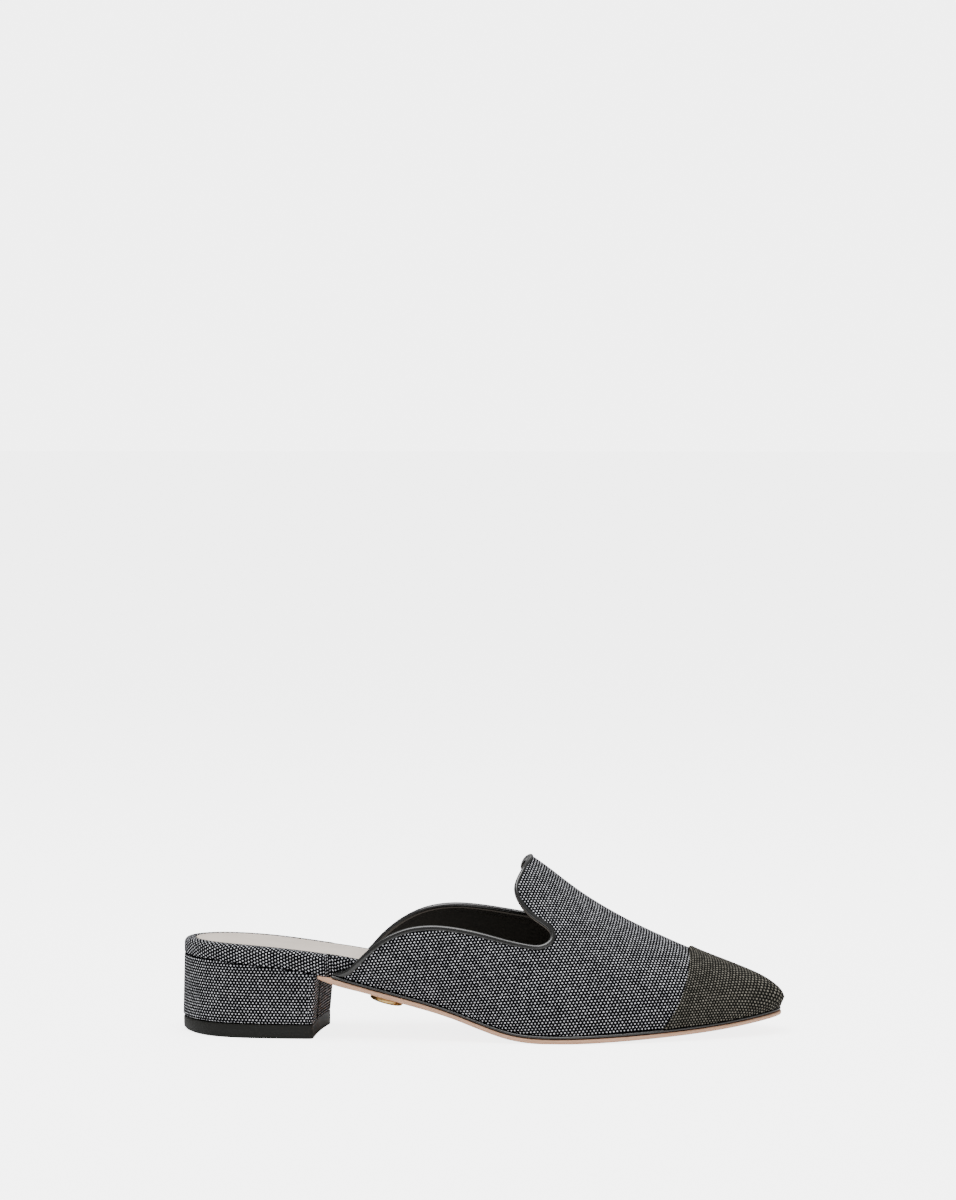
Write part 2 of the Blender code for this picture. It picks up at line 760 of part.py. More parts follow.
def rand(skin, collection, look):
    """The narrow strip between the upper and the outsole, from one quarter to the other."""
    columns = []
    for sign in (-1, 1):
        rib, reach = skin.side_view(sign, TOPLINE_LATERAL if sign < 0 else TOPLINE_MEDIAL, 40)
        start = skin.at(sign, rib[:1], reach[:1])[0, 0]
        columns.append(start)
    outline = whole_outline()
    outer, _ = paired_outline(inset(outline, RAND_INSET), columns, 50)
    inner, _ = paired_outline(inset(outline, RAND_INNER), columns, 50)
    low, high = [], []
    for line in (outer, inner):
        base = seam_height(line[:, 0]) + GAP
        low.append(np.column_stack([line, base]))
        high.append(np.column_stack([line, base + RAND_HEIGHT]))
    top = np.stack([high[0], high[1]], axis=1)
    bottom = np.stack([low[0], low[1]], axis=1)
    return sheet("rand", top, bottom, collection, look)


def inside_share(x):
    """How far the footbed has stepped inside the upper: 0 at the bare heel, then 1."""
    share = np.clip((x - FOOTBED_STEP[0]) / (FOOTBED_STEP[-1] - FOOTBED_STEP[0]), 0.0, 1.0)
    return share * share * (3.0 - 2.0 * share)


def rim_inset(x, distance):
    """Inset of a line on the footbed's rim, which narrows by as much as the side steps in."""
    share = inside_share(x)
    return FOOTBED_INSET * share + distance * (1.0 - share * FOOTBED_INSET / SOCK_MARGIN)


def footbed(collection, look):
    """The wrapped footbed: a thick band at the heel that thins towards the ball."""
    outline = whole_outline()
    steps = (
        ("inset", "height", "drop"),
        (0.0006, 0.0, -0.0000),
        (0.0000, 0.0, -0.0007),
        (0.0000, 1.0, 0.0027),
        (0.0005, 1.0, 0.0013),
        (0.0018, 1.0, 0.0004),
        (0.0036, 1.0, 0.0001),
        (0.0046, 1.0, SOCK_SINK),
    )
    loops = []
    ties = None
    for distance, height, drop in steps[1:]:
        ring = inset(outline, rim_inset(outline[:, 0], distance))
        loop, ties = paired_outline(ring, None, 38, FOOTBED_STEP)
        x = loop[:, 0]
        low = seam_height(x) + GAP
        z = low * (1.0 - height) + footbed_height(x, loop[:, 1]) * height - drop
        loops.append(np.column_stack([loop, z]))
    return rings("footbed", loops, ties, collection, look)


def sock_lining(collection, look):
    """The pale sock laid in the footbed's sunk top."""
    outline = whole_outline()
    base = inset(outline, rim_inset(outline[:, 0], SOCK_MARGIN))
    loops = []
    ties = None
    steps = (
        ("inset", "rise"),
        (0.0, 0.0),
        (0.0, 0.7),
        (0.0003, 1.0),
    )
    for distance, rise in steps[1:]:
        loop, ties = paired_outline(inset(base, distance), None, 38, FOOTBED_STEP)
        z = footbed_height(loop[:, 0], loop[:, 1]) - SOCK_SINK + GAP + SOCK_WALL * rise
        loops.append(np.column_stack([loop, z]))
    return rings("sock_lining", loops, ties, collection, look)


def heel_outline(distance):
    """Outline of the heel in plan: the sole's back, two rounded corners and the breast."""
    outline = inset(whole_outline(), distance)
    lateral, medial = halves(outline)
    radius = BREAST_RADIUS
    ends = []
    for line in (lateral, medial):
        gap = line[:, 0] - breast_line(line[:, 1])
        ahead = np.nonzero(gap > -radius)[0][0]
        ends.append(line[:ahead])
    lateral, medial = ends
    back = spread(np.vstack([lateral[::-1], medial[1:]]), np.linspace(0.0, 1.0, HEEL_BACK_POINTS))
    corners = []
    for end, sign in ((back[-1], 1), (back[0], -1)):
        face = np.array([breast_line(end[1] - sign * radius), end[1] - sign * radius])
        sharp = np.array([breast_line(end[1]), end[1]])
        for share in (0.35, 0.65):
            corners.append((1 - share) ** 2 * end + 2 * share * (1 - share) * sharp + share ** 2 * face)
        corners.append(face)
    medial_turn = corners[:3]
    lateral_turn = corners[3:][::-1]
    breast = []
    for share in np.linspace(0.0, 1.0, 9)[1:-1]:
        y = medial_turn[-1][1] * (1.0 - share) + lateral_turn[0][1] * share
        hollow = BREAST_HOLLOW * 4.0 * share * (1.0 - share)
        breast.append(np.array([breast_line(y) - hollow, y]))
    return np.array(list(back) + medial_turn + breast + lateral_turn)


def heel_body(name, loops, collection, look):
    """Close heel loops, tied across from side to side and then along the breast."""
    arc = HEEL_BACK_POINTS
    ties = [(i, arc - 1 - i) for i in range(arc // 2)]
    front = list(range(arc - 1, len(loops[0]))) + [0]
    return rings(name, loops, ties, collection, look, front)


def heel_loop(share, distance, height=None):
    """One level of the heel: share 0 is its top under the seam, 1 its foot on the tip."""
    loop = heel_outline(distance)
    x, y = loop[:, 0].copy(), loop[:, 1].copy()
    middle = np.array([ORIGIN_ALONG, ORIGIN_ACROSS])
    back = np.clip(1.0 - x / (1.3 * ORIGIN_ALONG), 0.0, 1.0)
    front = np.clip((x - 0.045) / 0.015, 0.0, 1.0)
    x = x - HEEL_FLARE * share * back - 0.0018 * share * front
    y = middle[1] + (y - middle[1]) * (1.0 - 0.045 * share)
    top = seam_height(x) - GAP
    foot = TIP_HEIGHT + GAP
    z = top * (1.0 - share) + foot * share if height is None else np.full(len(x), height)
    return np.column_stack([x, y, z])


def heel_block(collection, look):
    """The covered block under the heel, turned a little outwards towards its breast."""
    loops = [heel_loop(0.0, 0.0006), heel_loop(0.02, 0.0), heel_loop(0.5, 0.0), heel_loop(0.97, 0.0),
             heel_loop(1.0, 0.0007)]
    return heel_body("heel_block", loops, collection, look)


def heel_tip(collection, look):
    """The top lift that meets the floor, its back edge worn to a bevel."""
    loops = [heel_loop(1.0, 0.0007, TIP_HEIGHT), heel_loop(1.0, 0.0002, TIP_HEIGHT - 0.0006),
             heel_loop(1.0, 0.0004, TIP_BEVEL)]
    foot = heel_loop(1.0, 0.0007, 0.0)
    back = np.clip((0.022 - foot[:, 0]) / 0.020, 0.0, 1.0)
    foot[:, 0] += TIP_BEVEL * back
    loops.append(foot)
    return heel_body("heel_tip", loops, collection, look)


def sole_stud(collection, look):
    """A turned metal stud under the waist, with plain rings on its face."""
    profile = (
        ("radius", "depth"),
        (0.000, 0.00),
        (0.940, 0.00),
        (1.000, 0.12),
        (1.000, 0.72),
        (0.900, 1.00),
        (0.780, 1.00),
        (0.730, 0.82),
        (0.560, 0.82),
        (0.510, 1.00),
        (0.000, 1.06),
    )
    count = 28
    slope = math.atan((underside_height(STUD_ALONG + 0.004) - underside_height(STUD_ALONG - 0.004)) / 0.008)
    belly = SOLE_BELLY * math.sin((STUD_ALONG / SHOE_LENGTH - 0.22) / 0.33 * math.pi)
    centre = Vector((STUD_ALONG, STUD_ACROSS, float(underside_height(STUD_ALONG)) - belly - GAP))
    turn = Matrix.Rotation(-slope, 3, "Y")
    vertices, faces = [], []
    for radius, depth in profile[1:]:
        for k in range(count):
            angle = 2.0 * math.pi * k / count
            point = Vector((radius * STUD_RADIUS * math.cos(angle), radius * STUD_RADIUS * math.sin(angle),
                            -depth * STUD_DEPTH))
            vertices.append(centre + turn @ point)
    for level in range(len(profile) - 2):
        for k in range(count):
            j = (k + 1) % count
            low, high = level * count, (level + 1) * count
            faces.append((low + k, low + j, high + j, high + k))
    return solid("sole_stud", vertices, faces, collection, look)


def build():
    """Clear the scene and build every piece of the shoe."""
    for old in list(bpy.data.objects):
        bpy.data.objects.remove(old, do_unlink=True)
    collection = bpy.data.collections.new(NAME)
    bpy.context.scene.collection.children.link(collection)
    skin = Skin()
    outsole(collection, material("outsole", (0.62, 0.42, 0.31), 0.55))
    rand(skin, collection, material("rand", (0.02, 0.02, 0.018), 0.45))
    heel_block(collection, material("heel_block", (0.07, 0.07, 0.085), 0.85))
    heel_tip(collection, material("heel_tip", (0.030, 0.031, 0.027), 0.6))
    footbed(collection, material("footbed", (0.08, 0.08, 0.095), 0.85))
    sock_lining(collection, material("sock_lining", (0.55, 0.50, 0.46), 0.6))
    upper(skin, collection, material("upper", (0.07, 0.07, 0.085), 0.85))
    toe_cap(skin, collection, material("toe_cap", (0.045, 0.043, 0.035), 0.8))
    topline_binding(skin, collection, material("topline_binding", (0.018, 0.018, 0.018), 0.5))
    sole_stud(collection, material("sole_stud", (0.72, 0.48, 0.18), 0.3, 1.0))


build()
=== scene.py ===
"""Cap-toe mule for the right foot, dressed for a studio picture.

The frame has its origin on the floor, at the middle of the heel tip's underside.
+X runs to the toe, +Z up and -Y to the outer (lateral) side. Lengths are metres.
Each piece is built from a few short tables of sections, as shares of the shoe's sizes.
"""

import math

import bmesh
import bpy
import numpy as np
from bpy.props import FloatProperty, FloatVectorProperty, PointerProperty
from mathutils import Matrix, Vector


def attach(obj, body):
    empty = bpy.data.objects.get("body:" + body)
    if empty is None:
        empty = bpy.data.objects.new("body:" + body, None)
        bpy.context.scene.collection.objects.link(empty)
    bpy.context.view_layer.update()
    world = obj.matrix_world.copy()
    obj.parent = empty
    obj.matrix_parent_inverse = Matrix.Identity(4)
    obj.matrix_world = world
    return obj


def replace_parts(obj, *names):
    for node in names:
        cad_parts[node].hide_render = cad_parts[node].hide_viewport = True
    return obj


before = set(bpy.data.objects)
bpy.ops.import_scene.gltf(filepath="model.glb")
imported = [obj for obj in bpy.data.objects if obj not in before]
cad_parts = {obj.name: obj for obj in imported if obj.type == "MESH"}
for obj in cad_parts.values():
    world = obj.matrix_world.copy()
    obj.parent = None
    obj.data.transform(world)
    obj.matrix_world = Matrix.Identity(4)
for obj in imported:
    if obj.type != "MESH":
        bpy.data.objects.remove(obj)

bl_info = {
    "name": "Cap-toe mule",
    "version": (1, 0, 0),
    "blender": (4, 5, 0),
    "location": "View3D > Sidebar > Mule",
    "description": "Builds a woven cap-toe mule on a covered block heel, piece by piece",
    "category": "Object",
}

# Driving sizes
SHOE_LENGTH = 0.261
BALL_WIDTH = 0.078
INSTEP_HEIGHT = 0.077

# Places along the length, from the back of the heel
ORIGIN_ALONG = 0.031
ORIGIN_ACROSS = -0.003
BREAST_ALONG = 0.2284 * SHOE_LENGTH
BREAST_SLANT = 0.100
RIDGE_ACROSS = 0.003
FAN_FROM = 0.7854 * SHOE_LENGTH
POLE_BACK = 0.0517 * SHOE_LENGTH
CAP_SEAM_ALONG = 0.8410 * SHOE_LENGTH
CAP_SEAM_SWEEP = 0.0112
CAP_SEAM_BOW = 0.004
STUD_ALONG = 0.3410 * SHOE_LENGTH
TREAD_ALONG = (0.6000 * SHOE_LENGTH, 0.6502 * SHOE_LENGTH)
FOOTBED_STEP = tuple(share * SHOE_LENGTH for share in (0.2406, 0.2444, 0.2483, 0.2521))
STUD_ACROSS = -0.007

# Thicknesses and gaps
GAP = 0.0003
SOLE_BELLY = 0.0024
RAND_HEIGHT = 0.0013
RAND_INSET = 0.0003
RAND_INNER = 0.0031
UPPER_INSET = 0.001
UPPER_WALL = 0.002
CAP_WALL = 0.0007
CAP_BED = 0.0006
BINDING_WIDTH = 0.0026
FOOTBED_INSET = 0.0034
FOOTBED_LEAN = 0.0018
SOCK_MARGIN = 0.0052
SOCK_SINK = 0.0015
SOCK_WALL = 0.001
TIP_HEIGHT = 0.0062
TIP_BEVEL = 0.0012
HEEL_FLARE = 0.0008
BREAST_RADIUS = 0.0022
BREAST_HOLLOW = 0.0008
STUD_RADIUS = 0.0073
STUD_DEPTH = 0.0024

# Outline of the sole from the back, round the lateral side and the toe, and home
# along the medial side: along in shares of the length, across in shares of the ball width
OUTLINE = (
    (0.0000, 0.010),
    (0.0130, -0.145),
    (0.0500, -0.288),
    (0.1150, -0.364),
    (0.2100, -0.384),
    (0.3250, -0.391),
    (0.4200, -0.408),
    (0.5170, -0.457),
    (0.6130, -0.497),
    (0.7010, -0.477),
    (0.7860, -0.404),
    (0.8740, -0.290),
    (0.9430, -0.170),
    (0.9850, -0.055),
    (0.9965, 0.038),
    (0.9830, 0.138),
    (0.9430, 0.238),
    (0.8740, 0.366),
    (0.7930, 0.468),
    (0.7010, 0.508),
    (0.6130, 0.468),
    (0.5170, 0.360),
    (0.4200, 0.260),
    (0.3250, 0.228),
    (0.2300, 0.236),
    (0.1340, 0.288),
    (0.0560, 0.262),
    (0.0140, 0.158),
)

# Side view of the sole: along, underside of the edge, top of the edge (the seam line
# that runs on under the footbed), top of the footbed; heights in shares of the instep
PROFILE = (
    ("along", "underside", "seam", "footbed"),
    (0.00, 0.440, 0.442, 0.540),
    (0.05, 0.436, 0.438, 0.537),
    (0.10, 0.422, 0.424, 0.529),
    (0.15, 0.404, 0.406, 0.517),
    (0.20, 0.382, 0.386, 0.500),
    (0.25, 0.318, 0.348, 0.478),
    (0.30, 0.272, 0.300, 0.449),
    (0.35, 0.228, 0.254, 0.405),
    (0.40, 0.183, 0.209, 0.345),
    (0.45, 0.132, 0.157, 0.276),
    (0.50, 0.070, 0.096, 0.202),
    (0.55, 0.018, 0.044, 0.142),
    (0.60, 0.000, 0.026, 0.108),
    (0.65, 0.000, 0.026, 0.097),
    (0.70, 0.006, 0.032, 0.098),
    (0.80, 0.024, 0.049, 0.113),
    (0.90, 0.052, 0.076, 0.138),
    (1.00, 0.100, 0.124, 0.182),
)

# Body of the upper: along, ridge height in shares of the instep, exponent of the
# section's curve, how far the wall swells past the feather in shares of the ball width,
# and how fast that swell falls off upwards
BODY = (
    ("along", "ridge", "fullness", "swell", "fall"),
    (0.25, 1.310, 2.00, 0.040, 4.0),
    (0.40, 1.270, 1.90, 0.038, 4.0),
    (0.50, 1.155, 1.80, 0.030, 4.0),
    (0.55, 1.057, 1.76, 0.024, 4.0),
    (0.60, 0.946, 1.74, 0.019, 3.8),
    (0.65, 0.817, 1.76, 0.016, 3.4),
    (0.70, 0.706, 1.82, 0.014, 3.0),
    (0.75, 0.613, 1.90, 0.014, 2.6),
    (0.80, 0.533, 2.00, 0.014, 2.3),
    (0.85, 0.459, 2.12, 0.016, 2.0),
    (0.90, 0.393, 2.30, 0.018, 1.7),
    (0.95, 0.326, 2.65, 0.020, 1.5),
    (1.00, 0.256, 3.40, 0.022, 1.3),
)

# Topline in side view, from the sole's edge up to the ridge: along in shares of the
# length, height in shares of the instep; 0 in the first row stands for the sole's edge
TOPLINE_LATERAL = (
    (0.255, 0.000),
    (0.276, 0.388),
    (0.294, 0.440),
    (0.313, 0.505),
    (0.337, 0.570),
    (0.362, 0.613),
    (0.387, 0.638),
    (0.421, 0.648),
    (0.457, 0.638),
    (0.500, 0.610),
    (0.542, 0.573),
    (0.578, 0.548),
    (0.599, 0.545),
    (0.612, 0.571),
    (0.613, 0.604),
    (0.606, 0.634),
    (0.591, 0.668),
    (0.572, 0.722),
    (0.559, 0.785),
    (0.554, 0.840),
    (0.557, 0.890),
    (0.566, 0.945),
    (0.577, 1.000),
)
TOPLINE_MEDIAL = (
    (0.255, 0.000),
    (0.278, 0.385),
    (0.300, 0.423),
    (0.320, 0.495),
    (0.343, 0.568),
    (0.367, 0.625),
    (0.400, 0.675),
    (0.436, 0.697),
    (0.465, 0.697),
    (0.500, 0.683),
    (0.540, 0.659),
    (0.580, 0.633),
    (0.602, 0.629),
    (0.616, 0.668),
    (0.618, 0.695),
    (0.610, 0.722),
    (0.601, 0.758),
    (0.586, 0.808),
    (0.573, 0.860),
    (0.562, 0.908),
    (0.563, 0.950),
    (0.570, 0.985),
    (0.577, 1.000),
)

# How columns of the upper's mesh run: share of the topline to share of the feather
COLUMNS = (
    (0.00, 0.00),
    (0.30, 0.21),
    (0.56, 0.41),
    (0.61, 0.47),
    (0.66, 0.63),
    (0.69, 0.75),
    (0.71, 0.79),
    (0.80, 0.88),
    (1.00, 1.00),
)

# Fineness: points along the topline and down the upper, how they crowd to the topline,
# ribs of the skin, and points round the outline, the heel's back and its breast
COLUMN_COUNT = 150
ROW_COUNT = 44
ROW_BUNCH = 1.35
RIB_COUNT = 1200
TOPLINE_POINTS = 700
OUTLINE_POINTS = 2400
RING_POINTS = 150
HEEL_BACK_POINTS = 140
BREAST_POINTS = 180
SPOTS_AT_ONCE = 1500

# Weave: turn of the cloth on the footbed's band in degrees, how far yarns stray in shares
# of their pitch, and how full a pale yarn's dome is
BAND_TURN = 29.0
STRAY_ALONG = 0.14
STRAY_UP = 0.10
DOME_HEIGHT = 0.28

# Lining stitches: distance inside the binding, thickness of the thread, length of a
# stitch in shares of its pitch
STITCH_MARGIN = 0.0010
THREAD_WIDTH = 0.0004
STITCH_SHARE = 0.72

# Edges sharper than these angles, in degrees, are drawn sharp
SHARP_EDGE = 38.0
SHARP_CAP = 50.0
SHARP_ROUND = 60.0

# Sockets of a colour mix: its two colours and its result
COLOUR_A = 6
COLOUR_B = 7
COLOUR_RESULT = 2

# Picture: height it spans at the shoe, the lens shift that frames it, the height looked
# at and the width of the film; floor: half its side
PICTURE_HEIGHT = 0.522
SHIFT = (-0.0046, 0.2875)
AIM_HEIGHT = 0.0374
FILM_WIDTH = 36.0
FLOOR_HALF = 12.0


def column(table, name):
    """Return the places along and one named column of a table, as arrays."""
    index = table[0].index(name)
    rows = table[1:]
    return np.array([row[0] for row in rows]), np.array([row[index] for row in rows])


def smooth(knots, values, at):
    """Return a natural cubic curve through the values, run on straight past its ends."""
    count = len(knots)
    step = np.diff(knots)
    matrix = np.eye(count)
    right = np.zeros(count)
    for i in range(1, count - 1):
        matrix[i, i - 1] = step[i - 1]
        matrix[i, i] = 2.0 * (step[i - 1] + step[i])
        matrix[i, i + 1] = step[i]
        ahead = (values[i + 1] - values[i]) / step[i]
        behind = (values[i] - values[i - 1]) / step[i - 1]
        right[i] = 6.0 * (ahead - behind)
    bend = np.linalg.solve(matrix, right)
    at = np.asarray(at, dtype=float)
    inside = np.clip(at, knots[0], knots[-1])
    i = np.clip(np.searchsorted(knots, inside) - 1, 0, count - 2)
    width = step[i]
    low = (knots[i + 1] - inside) / width
    high = 1.0 - low
    result = low * values[i] + high * values[i + 1]
    result = result + ((low ** 3 - low) * bend[i] + (high ** 3 - high) * bend[i + 1]) * width ** 2 / 6.0
    first = (values[1] - values[0]) / step[0] - step[0] * (2.0 * bend[0] + bend[1]) / 6.0
    last = (values[-1] - values[-2]) / step[-1] + step[-1] * (bend[-2] + 2.0 * bend[-1]) / 6.0
    return result + np.minimum(at - knots[0], 0.0) * first + np.maximum(at - knots[-1], 0.0) * last


def read(table, name, along):
    """Read one column of a table at places along the shoe given in metres."""
    knots, values = column(table, name)
    return smooth(knots, values, np.asarray(along) / SHOE_LENGTH)


def lengths(points):
    """Distances along a polyline, from its start."""
    gaps = np.linalg.norm(np.diff(points, axis=0), axis=1)
    return np.concatenate([[0.0], np.cumsum(gaps)])


def through(points, count, closed=False):
    """Return count points on a smooth curve through the given points."""
    points = np.array(points, dtype=float)
    total = len(points)
    if closed:
        points = np.vstack([points[-4:], points, points[:5]])
    gaps = np.linalg.norm(np.diff(points, axis=0), axis=1)
    knots = np.concatenate([[0.0], np.cumsum(np.sqrt(gaps))])
    start, end = (knots[4], knots[4 + total]) if closed else (knots[0], knots[-1])
    at = np.linspace(start, end, count, endpoint=not closed)
    return np.column_stack([smooth(knots, points[:, axis], at) for axis in range(points.shape[1])])


def spread(points, shares):
    """Return the points at given shares of a polyline's length."""
    points = np.asarray(points)
    length = lengths(points)
    at = np.asarray(shares) * length[-1]
    return np.column_stack([np.interp(at, length, points[:, axis]) for axis in range(points.shape[1])])


def underside_height(along):
    """Height of the sole edge's underside; the tread is flat at the ball."""
    return np.maximum(read(PROFILE, "underside", along), 0.0) * INSTEP_HEIGHT


def seam_height(along):
    """Height of the seam line on top of the outsole and of the heel block."""
    return read(PROFILE, "seam", along) * INSTEP_HEIGHT


def footbed_height(along, across):
    """Height of the footbed's top, which leans a little to the medial side at the heel."""
    lean = FOOTBED_LEAN * np.clip((0.110 - along) / 0.050, 0.0, 1.0)
    return read(PROFILE, "footbed", along) * INSTEP_HEIGHT - lean * (across / BALL_WIDTH + 0.35)


def whole_outline():
    """Return the sole's closed outline in plan, finely sampled, from the back."""
    points = np.array(OUTLINE) * (SHOE_LENGTH, BALL_WIDTH)
    return through(points, OUTLINE_POINTS, closed=True)


def inset(points, distance):
    """Move a closed outline inwards by a distance."""
    ahead = np.roll(points, -1, axis=0)
    behind = np.roll(points, 1, axis=0)
    tangent = ahead - behind
    tangent /= np.linalg.norm(tangent, axis=1)[:, None]
    inward = np.column_stack([-tangent[:, 1], tangent[:, 0]])
    return points + inward * np.asarray(distance).reshape(-1, 1)


def halves(points):
    """Split an outline at its back and tip into a lateral and a medial line, back first."""
    tip = int(np.argmax(points[:, 0]))
    back = int(np.argmin(points[:, 0]))
    turned = np.roll(points, -back, axis=0)
    tip = (tip - back) % len(points)
    lateral = turned[:tip + 1]
    medial = np.vstack([turned[tip:], turned[:1]])[::-1]
    return lateral, medial


class Skin:
    """The upper's outer surface: ribs that rise from the feather to the ridge.

    A spot on it is (rib, reach): rib counts from the back to the toe's tip, and reach
    is 0 on the ridge and 1 on the feather. In plan each rib is a straight line, and
    the ribs of the toe fan out from a pole just behind the tip.
    """

    def __init__(self):
        outline = inset(whole_outline(), UPPER_INSET)
        self.sides = {}
        for sign, line in zip((-1, 1), halves(outline)):
            line = spread(line, np.linspace(0.0, 1.0, RIB_COUNT + 1))
            along, across = line[:, 0], line[:, 1]
            tip = along[-1]
            push = np.clip((along - FAN_FROM) / (tip - FAN_FROM), 0.0, 1.0)
            ridge = along - POLE_BACK * push ** 3
            tangent = np.gradient(line, axis=0)
            tangent /= np.linalg.norm(tangent, axis=1)[:, None]
            normal = np.column_stack([-tangent[:, 1], tangent[:, 0]]) * (1 if sign > 0 else -1)
            self.sides[sign] = {
                "along": along,
                "across": across,
                "ridge": ridge,
                "normal": normal,
                "base": seam_height(along) + RAND_HEIGHT + 2.0 * GAP,
                "fullness": read(BODY, "fullness", along),
                "swell": read(BODY, "swell", along) * BALL_WIDTH,
                "fall": read(BODY, "fall", along),
            }

    def at(self, sign, rib, reach):
        """Return points of the surface for arrays of ribs and reaches on one side."""
        side = self.sides[sign]
        index = np.arange(RIB_COUNT + 1)
        rib = np.clip(rib, 0.0, RIB_COUNT)
        along, across, ridge, base, fullness, swell, fall = (
            np.interp(rib, index, side[key])
            for key in ("along", "across", "ridge", "base", "fullness", "swell", "fall"))
        normal = np.column_stack([np.interp(rib, index, side["normal"][:, axis]) for axis in (0, 1)])
        out = np.sin(np.clip(reach, 0.0, 1.0) * math.pi / 2.0)
        rise = np.maximum(1.0 - out ** fullness, 0.0) ** (1.0 / fullness)
        x = ridge + (along - ridge) * out
        y = RIDGE_ACROSS + (across - RIDGE_ACROSS) * out
        top = read(BODY, "ridge", x) * INSTEP_HEIGHT
        z = base + (top - base) * rise
        most = (fall / (1.0 + fall)) ** fall / (1.0 + fall)
        bulge = swell * rise * (1.0 - rise) ** fall / most
        return np.column_stack([x + normal[:, 0] * bulge, y + normal[:, 1] * bulge, z])

    def normals(self, sign, rib, reach):
        """Return outward unit normals of the surface."""
        held = np.clip(reach, 0.02, 1.0)
        along = self.at(sign, rib + 1.0, held) - self.at(sign, rib - 1.0, held)
        inward = self.at(sign, rib, held - 0.015) - self.at(sign, rib, held)
        normal = np.cross(along, inward) * (-sign)
        normal[:, 1] *= np.clip(np.asarray(reach) / 0.02, 0.0, 1.0)
        return normal / np.linalg.norm(normal, axis=1)[:, None]

    def plan(self, sign, rib, reach):
        """Unroll spots into the plan, where the ribs keep an even measure."""
        side = self.sides[sign]
        index = np.arange(RIB_COUNT + 1)
        along, across, ridge = (np.interp(rib, index, side[key]) for key in ("along", "across", "ridge"))
        return np.column_stack([ridge + (along - ridge) * reach,
                                RIDGE_ACROSS + (across - RIDGE_ACROSS) * reach])

    def spot(self, sign, points):
        """Find the rib and reach of points given in the unrolled plan."""
        starts = range(0, len(points), SPOTS_AT_ONCE)
        parts = [self.few_spots(sign, points[i:i + SPOTS_AT_ONCE]) for i in starts]
        return tuple(np.concatenate(part) for part in zip(*parts))

    def few_spots(self, sign, points):
        """Find the rib and reach of a few points at a time."""
        side = self.sides[sign]
        foot = np.column_stack([side["along"], side["across"]])
        head = np.column_stack([side["ridge"], np.full(RIB_COUNT + 1, RIDGE_ACROSS)])
        ray = foot - head
        gap_x = points[:, None, 0] - head[None, :, 0]
        gap_y = points[:, None, 1] - head[None, :, 1]
        cross = (gap_x * ray[None, :, 1] - gap_y * ray[None, :, 0]) * sign
        ahead = cross > 0.0
        last = RIB_COUNT - 1 - np.argmax(ahead[:, -2::-1], axis=1)
        last = np.where(ahead[:, :-1].any(axis=1), last, 0)
        row = np.arange(len(points))
        low, high = cross[row, last], cross[row, last + 1]
        share = np.where(low > high, low / np.maximum(low - high, 1e-15), 0.0)
        rib = last + np.clip(share, 0.0, 1.0)
        index = np.arange(RIB_COUNT + 1)
        start = np.column_stack([np.interp(rib, index, head[:, 0]), np.interp(rib, index, head[:, 1])])
        end = np.column_stack([np.interp(rib, index, foot[:, 0]), np.interp(rib, index, foot[:, 1])])
        reach = np.linalg.norm(points - start, axis=1) / np.linalg.norm(end - start, axis=1)
        return rib, np.clip(reach, 0.0, 1.0)

    def side_view(self, sign, table, count):
        """Return the spots of a line given in side view by a table of along and height."""
        side = self.sides[sign]
        index = np.arange(RIB_COUNT + 1)
        points = np.array(table) * (SHOE_LENGTH, INSTEP_HEIGHT)
        rib = np.interp(points[:, 0], side["along"], index)
        base = np.interp(rib, index, side["base"])
        points[0, 1] = base[0]
        line = through(points, count)
        rib = np.interp(line[:, 0], side["along"], index)
        base, fullness = (np.interp(rib, index, side[key]) for key in ("base", "fullness"))
        top = read(BODY, "ridge", line[:, 0]) * INSTEP_HEIGHT
        rise = np.clip((line[:, 1] - base) / (top - base), 0.0, 1.0)
        out = (1.0 - rise ** fullness) ** (1.0 / fullness)
        reach = np.arcsin(np.clip(out, 0.0, 1.0)) * 2.0 / math.pi
        reach[0], reach[-1] = 1.0, 0.0
        return rib, reach

    def moved(self, sign, rib, reach, distance):
        """Move a line of spots across itself, over the surface and away from the opening."""
        here = self.at(sign, rib, reach)
        tangent = np.gradient(here, axis=0)
        if abs(reach[-1]) < 1e-9:
            tangent[-1, 0] = 0.0
            tangent[-1, 2] = 0.0
        normal = self.normals(sign, rib, reach)
        across = np.cross(tangent, normal) * (-sign)
        across /= np.linalg.norm(across, axis=1)[:, None]
        held = np.clip(reach, 0.02, 0.98)
        by_rib = (self.at(sign, rib + 1.0, held) - self.at(sign, rib - 1.0, held)) / 2.0
        by_reach = (self.at(sign, rib, held + 0.01) - self.at(sign, rib, held - 0.01)) / 0.02
        want = across * np.asarray(distance).reshape(-1, 1)
        a = np.sum(by_rib * by_rib, axis=1)
        b = np.sum(by_rib * by_reach, axis=1)
        c = np.sum(by_reach * by_reach, axis=1)
        p = np.sum(by_rib * want, axis=1)
        q = np.sum(by_reach * want, axis=1)
        size = a * c - b * b
        new_rib = rib + (p * c - q * b) / size
        new_reach = reach + (q * a - p * b) / size
        if abs(reach[-1]) < 1e-9:
            new_reach[-1] = 0.0
        return new_rib, new_reach


def grid_on_skin(skin, sign, top, bottom, rows, share=None):
    """Return the spots of a grid whose columns run from a top line to a bottom line."""
    start = skin.plan(sign, *top)
    end = skin.plan(sign, *bottom)
    if share is None:
        share = 1.0 - (1.0 - np.linspace(0.0, 1.0, rows)) ** ROW_BUNCH
    points = start[:, None, :] + (end - start)[:, None, :] * share[None, :, None]
    rib, reach = skin.spot(sign, points.reshape(-1, 2))
    shape = (len(start), rows)
    rib, reach = rib.reshape(shape), reach.reshape(shape)
    rib[:, 0], reach[:, 0] = top
    rib[:, -1], reach[:, -1] = bottom
    return rib, reach


